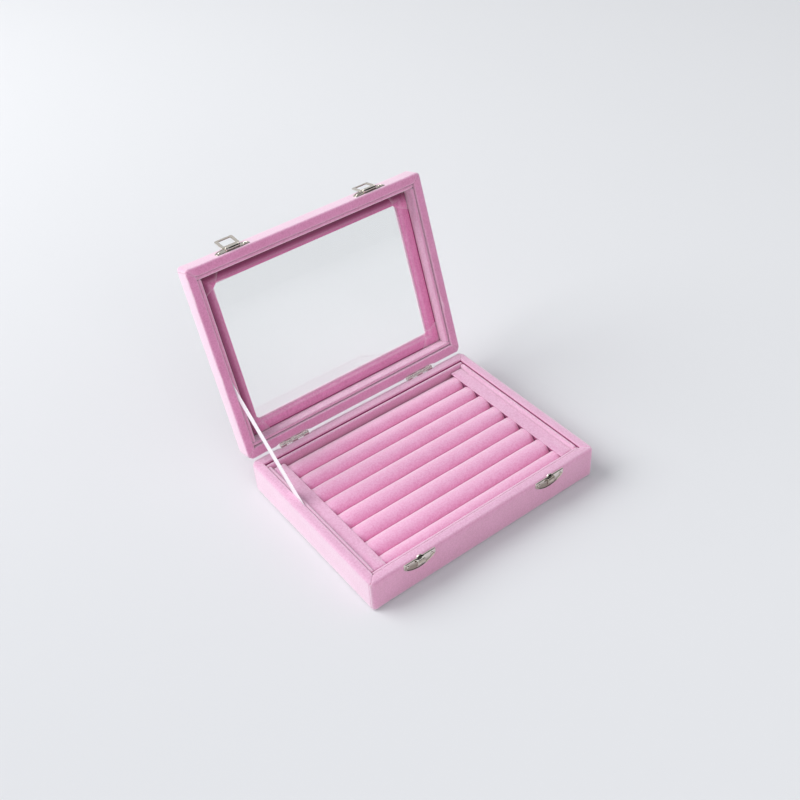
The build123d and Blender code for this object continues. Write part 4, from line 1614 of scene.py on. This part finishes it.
class RINGBOX_OT_catch_plates(bpy.types.Operator):
    """The latches' base halves: a stamped crescent with a tab and a bent tongue"""

    bl_idname = "ring_box.catch_plates"
    bl_label = "Catch plates"

    def execute(self, context):
        metal = context.scene.ring_box_metal
        tongue_width, tongue_reach, tongue_thickness = 6.8, 2.0, 0.5
        tongue_drop, tongue_lip = 0.7, 5.0
        plate_thickness, plate_edge = 0.95, 0.6
        tab_stands = 2.5
        tab_radius, tab_sink = 2.7, 0.8
        for side in ("left", "right"):
            node = f"catch_plate_{side}"
            low, high = own_box(node, base_place)
            x = (low.x + high.x) / 2
            edge_z = high.z - tab_stands
            half = (high.x - low.x) / 2
            outline = crescent(half, 4.6, edge_z - low.z, 1.9)
            front = standing(x, -half_depth, edge_z, (1, 0, 0), (0, 0, 1))
            points, faces = pressed_plate(outline, plate_thickness, plate_edge, plate_edge + 0.15, 0.32)
            shapes = [(points, faces, front)]
            tab = arc((0, -tab_sink), tab_radius, 0, 345, 23)
            points, faces = pressed_plate(tab, plate_thickness - 0.3, 0.4)
            shapes.append((points, faces, front))
            points, faces = self.tongue(tongue_width, tongue_reach, tongue_thickness, tongue_lip)
            there = front @ Matrix.Translation((0, -tongue_drop, plate_thickness))
            shapes.append((points, faces, there))
            points, faces = gather(*shapes)
            piece = put_in_place(f"{side}_catch_plate", points, faces, base_place)
            sharpen(piece)
            dress(piece, "base", "nickel_plate", node)
        return {"FINISHED"}

    @staticmethod
    def tongue(width, reach, thickness, lip):
        """A strip bent out of the plate's top and down again, its sides rounded off, with one rib."""
        bend = 0.45
        path = [(-0.3, 0.0), (reach - bend, 0.0)]
        path += arc((reach - bend, -bend), bend, 72, 0, 5)
        path += [(reach, -bend - 0.5), (reach, -0.46 * lip), (reach + 0.26, -0.54 * lip)]
        path += [(reach + 0.26, -0.66 * lip), (reach, -0.74 * lip), (reach - 0.05, -0.94 * lip)]
        path += [(reach - 0.35, -lip)]
        shares = (-1, -0.97, -0.91, -0.83, -0.74, -0.4, 0, 0.4, 0.74, 0.83, 0.91, 0.97, 1)
        rounded = (0.8, 0.5, 0.24, 0.08, 0, 0, 0, 0, 0, 0.08, 0.24, 0.5, 0.8)
        points = []
        for side in (1, 0):
            for i, (out, up) in enumerate(path):
                before = Vector(path[max(0, i - 1)])
                after = Vector(path[min(len(path) - 1, i + 1)])
                run = (after - before).normalized()
                outward = Vector((-run.y, run.x)) if -run.y > 0 or run.x > 0 else Vector((run.y, -run.x))
                rise = 1.0 if 1 < i < len(path) - 1 else 0.0
                for share, back in zip(shares, rounded):
                    amount = -back * rise if side else -thickness - back * rise
                    place = Vector((out, up)) + outward * amount
                    points.append((share * width / 2, place.y, place.x))
        columns = len(shares)
        rows = len(path)
        layer = rows * columns
        faces = grid_faces(rows, columns, False, False)
        faces += [tuple(layer + i for i in face) for face in faces]
        border = [i * columns for i in range(rows)]
        border += [(rows - 1) * columns + j for j in range(1, columns)]
        border += [i * columns + columns - 1 for i in range(rows - 2, -1, -1)]
        border += [j for j in range(columns - 2, 0, -1)]
        for i, first in enumerate(border):
            following = border[(i + 1) % len(border)]
            faces.append((first, following, layer + following, layer + first))
        return points, faces


class RINGBOX_OT_latch_plates(bpy.types.Operator):
    """The latches' lid halves: a stamped crescent with two ears, the pin and the loop"""

    bl_idname = "ring_box.latch_plates"
    bl_label = "Latch plates and loops"

    def execute(self, context):
        metal = context.scene.ring_box_metal
        plate_thickness, plate_edge = 0.7, 0.3
        ear_offset, ear_thickness, ear_radius = 5.0, 0.8, 1.5
        for side in ("left", "right"):
            node = f"latch_plate_{side}"
            low, high = own_box(node, lid_place)
            joint = next(j for j in frame["joints"] if j["name"] == f"{side}_hasp_pivot")
            pivot = lid_place.inverted() @ Vector(joint["pos_m"])
            x = (low.x + high.x) / 2
            edge_z = pivot.z - 3.0 + 1.9
            half = (high.x - low.x) / 2
            outline = crescent(half, 4.6, high.z - edge_z, 1.9)
            points, faces = pressed_plate(outline, plate_thickness, plate_edge, metal.border, metal.sunk)
            upside = standing(x, -half_depth, edge_z, (-1, 0, 0), (0, 0, -1))
            shapes = [(points, faces, upside)]
            out = -half_depth - pivot.y
            ear = arc((out, 0), ear_radius, -90, 90, 12)
            ear += [(0.3, ear_radius), (0.0, ear_radius), (0.0, 0.0), (0.6, -0.6)]
            for hand in (-1, 1):
                points, faces = pressed_plate(ear, ear_thickness, metal.edge)
                ear_x = x + hand * ear_offset + ear_thickness / 2
                turn = standing(ear_x, -half_depth, pivot.z, (0, -1, 0), (0, 0, 1))
                shapes.append((points, faces, turn))
            points, faces = gather(*shapes)
            piece = put_in_place(f"{side}_latch_plate", points, faces, lid_place)
            sharpen(piece)
            dress(piece, "lid", "nickel_plate", node)
            self.pin(side, x, pivot)
            self.loop(side, x, pivot, -joint["range_deg"][0], metal)
        return {"FINISHED"}

    @staticmethod
    def pin(side, x, pivot):
        reach, radius, head, head_radius = 5.4, 0.6, 0.5, 1.0
        profile = [(-reach - head, 0.001), (-reach - head, 0.5 * head_radius)]
        profile += [(-reach - head + 0.15, head_radius), (-reach, head_radius), (-reach, radius)]
        profile += [(-along, around) for along, around in reversed(profile)]
        points, faces = turned(profile, 24)
        points, faces = gather((points, faces, Matrix.Translation((x, pivot.y, pivot.z))))
        piece = put_in_place(f"{side}_hasp_rivet", points, faces, lid_place)
        sharpen(piece, 40)
        dress(piece, "lid", "nickel_plate", f"hasp_pin_{side}")

    @staticmethod
    def loop(side, x, pivot, angle, metal):
        width, start, tip, thickness = 14.5, 2.0, 13.5, 0.8
        hole_width, hole_start, hole_end = 9.5, 3.7, 11.4
        neck_width, neck_start = 8.8, 0.95
        outer = rounded_outline(width / 2, (tip - start) / 2, 1.1)
        inner = rounded_outline(hole_width / 2, (hole_end - hole_start) / 2, 0.8)
        shift = (hole_start + hole_end) / 2 - (start + tip) / 2
        inner = [(a, b + shift) for a, b in inner]
        points, faces = pressed_frame(outer, inner, thickness, 0.3)
        middle = Matrix.Translation((0, (start + tip) / 2, 0))
        shapes = [(points, faces, middle)]
        neck = rounded_outline(neck_width / 2, (start + 0.4 - neck_start) / 2, 0.1, 2)
        points, faces = pressed_plate(neck, thickness - 0.1, 0.12)
        there = Matrix.Translation((0, (start + 0.4 + neck_start) / 2, 0.05 - thickness / 2))
        shapes.append((points, faces, there))
        points, faces = knuckle(-neck_width / 2, neck_width, 1.25, 0.68, 0.15)
        shapes.append((points, faces, Matrix.Identity(4)))
        points, faces = gather(*shapes)
        # local y runs from the pivot to the tip: straight down at 0, then turning outward
        turn = radians(angle)
        along = Vector((0, -sin(turn), -cos(turn)))
        flat = standing(x, pivot.y, pivot.z, (1, 0, 0), along)
        piece = put_in_place(f"{side}_hasp_loop", points, faces, lid_place @ flat)
        sharpen(piece)
        dress(piece, f"{side}_hasp", "nickel_plate", f"hasp_loop_{side}")


class RINGBOX_OT_glass_and_boards(bpy.types.Operator):
    """The window's glass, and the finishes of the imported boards, card and paper"""

    bl_idname = "ring_box.glass_and_boards"
    bl_label = "Glass and boards"

    def execute(self, context):
        size = glass_high - glass_low
        ground_edge = 0.2
        outline = rounded_outline(size.x / 2 - 0.1, size.y / 2 - 0.1, 0.8, 4)
        thickness = size.z - 0.12
        points, faces = pressed_plate(outline, thickness, ground_edge)
        inner = inward(outline, ground_edge)
        count = len(outline)
        points[:count] = [(x, y, 0.0) for x, y in inner]
        points += [(x, y, ground_edge) for x, y in outline]
        first = len(points) - count
        faces = [face for face in faces if len(face) > 4 or min(face) >= count]
        for i in range(count):
            j = (i + 1) % count
            faces.append((i, j, first + j, first + i))
            faces.append((first + i, first + j, count + j, count + i))
        points, faces = gather((points, faces, Matrix.Translation((0, 0, glass_low.z + 0.03))))
        pane = put_in_place("window_glass", points, faces, lid_place)
        sharpen(pane, 20)
        for face in pane.data.polygons:
            face.use_smooth = len(face.vertices) == 4
        dress(pane, "lid", "glass", "glass_pane")
        slots = {"tray_card": "card", "base_underside_sheet": "underside_paper"}
        for name, node in frame["nodes"].items():
            if node.hide_render:
                continue
            slot = slots.get(name, "fibreboard")
            node.data.materials.clear()
            node.data.materials.append(finish(slot))
        return {"FINISHED"}


class RINGBOX_OT_stage(bpy.types.Operator):
    """Pale floor, soft studio light and the camera"""

    bl_idname = "ring_box.stage"
    bl_label = "Stage"

    def execute(self, context):
        stage = context.scene.ring_box_stage
        self.camera(context, stage)
        self.floor(context, stage)
        self.light(context, "key", stage.key_power, (-1.05, 0.95, 1.35), 1.7)
        self.light(context, "fill", stage.fill_power, (-0.5, -1.6, 0.9), 1.2)
        self.room(context, stage)
        context.scene.view_settings.view_transform = "Standard"
        return {"FINISHED"}

    @staticmethod
    def camera(context, stage):
        data = bpy.data.cameras.new("camera")
        data.lens = stage.lens
        camera = bpy.data.objects.new("camera", data)
        camera.location = stage.camera_place
        camera.rotation_euler = [radians(a) for a in stage.camera_turn]
        context.scene.collection.objects.link(camera)
        context.scene.camera = camera

    @staticmethod
    def light(context, name, power, place, size):
        data = bpy.data.lights.new(name, "AREA")
        data.energy = power
        data.shape = "DISK"
        data.size = size
        lamp = bpy.data.objects.new(name, data)
        lamp.location = place
        aim = Vector((0, 0.02, 0.06)) - Vector(place)
        lamp.rotation_euler = aim.to_track_quat("-Z", "Y").to_euler()
        context.scene.collection.objects.link(lamp)

    @staticmethod
    def floor(context, stage):
        """A round sheet of pale paper that fades into the backdrop at its rim."""
        radius = 4.0
        rings, steps = 24, 72
        points, faces = [(0, 0, 0)], []
        for ring in range(1, rings + 1):
            reach = radius * (ring / rings) ** 2
            points += [(reach * cos(2 * pi * i / steps), reach * sin(2 * pi * i / steps), 0) for i in range(steps)]
        faces += [(0, 1 + i, 1 + (i + 1) % steps) for i in range(steps)]
        for ring in range(rings - 1):
            first = 1 + ring * steps
            faces += [
                (first + i, first + steps + i, first + steps + (i + 1) % steps, first + (i + 1) % steps)
                for i in range(steps)
            ]
        mesh = bpy.data.meshes.new("paper_floor")
        mesh.from_pydata(points, [], faces)
        floor = bpy.data.objects.new("paper_floor", mesh)
        context.scene.collection.objects.link(floor)
        # Matt paper: a plain pale grey with a faint mottle, with painted shade making it darker toward +x, away from
        # the key light, and see-through at its rim
        material, tree, output = start_material("matt_background_paper")
        place = add_node(tree, "ShaderNodeTexCoord").outputs["Object"]
        distance = add_node(tree, "ShaderNodeVectorMath", {0: place}, operation="LENGTH")
        fade = add_node(
            tree,
            "ShaderNodeMapRange",
            {"Value": distance.outputs["Value"], "From Min": 1.2, "From Max": 3.0},
            interpolation_type="SMOOTHSTEP",
        )
        mottle = add_node(tree, "ShaderNodeTexNoise", {"Vector": place, "Scale": 1.2, "Detail": 1.0})
        # painted shade: the paper darkens toward +x, where the key light falls off
        along = add_node(
            tree, "ShaderNodeVectorMath", {0: place, 1: (-0.8, -0.1, 0.0)}, operation="DOT_PRODUCT"
        )
        across = add_node(
            tree,
            "ShaderNodeMapRange",
            {"Value": along.outputs["Value"], "From Min": -0.5, "From Max": 0.5, "To Max": 0.9},
        )
        share = add_node(
            tree,
            "ShaderNodeMath",
            {0: mottle.outputs["Fac"], 1: 0.1, 2: across.outputs["Result"]},
            operation="MULTIPLY_ADD",
        )
        paper = add_node(tree, "ShaderNodeMix", {}, data_type="RGBA")
        tree.links.new(share.outputs[0], paper.inputs["Factor"])
        paper.inputs[6].default_value = colour4([c * 0.93 for c in stage.floor_colour])
        paper.inputs[7].default_value = colour4(stage.floor_colour)
        matt = add_node(tree, "ShaderNodeBsdfDiffuse", {"Color": paper.outputs[2], "Roughness": 1.0})
        clear = add_node(tree, "ShaderNodeBsdfTransparent")
        mixed = add_node(
            tree,
            "ShaderNodeMixShader",
            {0: fade.outputs["Result"], 1: matt.outputs["BSDF"], 2: clear.outputs["BSDF"]},
        )
        tree.links.new(mixed.outputs[0], output.inputs["Surface"])
        mesh.materials.append(material)

    @staticmethod
    def room(context, stage):
        """Even light from all round; the eye, metal and glass see the pale backdrop instead."""
        world = bpy.data.worlds.new("studio")
        context.scene.world = world
        world.use_nodes = True
        tree = world.node_tree
        tree.nodes.clear()
        output = add_node(tree, "ShaderNodeOutputWorld")
        rays = add_node(tree, "ShaderNodeLightPath")
        seen = add_node(
            tree,
            "ShaderNodeMath",
            {0: rays.outputs["Is Camera Ray"], 1: rays.outputs["Is Glossy Ray"]},
            operation="MAXIMUM",
        )
        seen = add_node(
            tree,
            "ShaderNodeMath",
            {0: seen.outputs[0], 1: rays.outputs["Is Transmission Ray"]},
            operation="MAXIMUM",
        )
        soft = add_node(
            tree, "ShaderNodeBackground", {"Color": colour4(linear("F4F6FA")), "Strength": stage.sky}
        )
        backdrop = add_node(
            tree, "ShaderNodeBackground", {"Color": colour4(stage.backdrop_colour), "Strength": 1.0}
        )
        mixed = add_node(
            tree,
            "ShaderNodeMixShader",
            {0: seen.outputs[0], 1: soft.outputs["Background"], 2: backdrop.outputs["Background"]},
        )
        # the room is dark in front of the set, to its right, which gives the nickel its black lines
        toward = add_node(
            tree,
            "ShaderNodeVectorMath",
            {0: add_node(tree, "ShaderNodeTexCoord").outputs["Generated"], 1: (0.6, -0.9, 0.5)},
            operation="DOT_PRODUCT",
        )
        height = add_node(
            tree, "ShaderNodeMapRange", {"Value": toward.outputs["Value"], "From Min": 0.55, "From Max": 0.8}
        )
        dark_share = add_node(
            tree,
            "ShaderNodeMath",
            {0: height.outputs["Result"], 1: rays.outputs["Is Glossy Ray"]},
            operation="MULTIPLY",
        )
        ceiling = add_node(
            tree, "ShaderNodeBackground", {"Color": colour4(linear("2A2A2E")), "Strength": 1.0}
        )
        mixed = add_node(
            tree,
            "ShaderNodeMixShader",
            {0: dark_share.outputs[0], 1: mixed.outputs[0], 2: ceiling.outputs["Background"]},
        )
        tree.links.new(mixed.outputs[0], output.inputs["Surface"])


# ---------------------------------------------------------------- the add-on
SETTINGS = {
    "ring_box_velvet": VelvetSettings,
    "ring_box_cover": CoverSettings,
    "ring_box_padding": PaddingSettings,
    "ring_box_ribbon": RibbonSettings,
    "ring_box_metal": MetalSettings,
    "ring_box_stage": StageSettings,
}
OPERATORS = (
    RINGBOX_OT_stage,
    RINGBOX_OT_base_cover,
    RINGBOX_OT_lid_cover,
    RINGBOX_OT_liners,
    RINGBOX_OT_end_rails,
    RINGBOX_OT_ring_rolls,
    RINGBOX_OT_window_mat,
    RINGBOX_OT_ribbon_stay,
    RINGBOX_OT_hinges,
    RINGBOX_OT_catch_plates,
    RINGBOX_OT_latch_plates,
    RINGBOX_OT_nails,
    RINGBOX_OT_glass_and_boards,
)


class RINGBOX_PT_panel(bpy.types.Panel):
    """The box's pieces and their settings"""

    bl_idname = "RINGBOX_PT_panel"
    bl_label = "Ring Display Box"
    bl_space_type = "VIEW_3D"
    bl_region_type = "UI"
    bl_category = "Ring Box"

    def draw(self, context):
        layout = self.layout
        for name, group in SETTINGS.items():
            box = layout.box()
            for setting in group.__annotations__:
                box.prop(getattr(context.scene, name), setting)
        for operator in OPERATORS:
            layout.operator(operator.bl_idname)


def register():
    for group in SETTINGS.values():
        bpy.utils.register_class(group)
    for operator in OPERATORS:
        bpy.utils.register_class(operator)
    bpy.utils.register_class(RINGBOX_PT_panel)
    for name, group in SETTINGS.items():
        setattr(bpy.types.Scene, name, PointerProperty(type=group))


def unregister():
    for name in SETTINGS:
        delattr(bpy.types.Scene, name)
    bpy.utils.unregister_class(RINGBOX_PT_panel)
    for operator in reversed(OPERATORS):
        bpy.utils.unregister_class(operator)
    for group in reversed(SETTINGS.values()):
        bpy.utils.unregister_class(group)


def main():
    register()
    for operator in OPERATORS:
        name = operator.bl_idname.split(".")[1]
        getattr(bpy.ops.ring_box, name)()


if __name__ == "__main__":
    main()
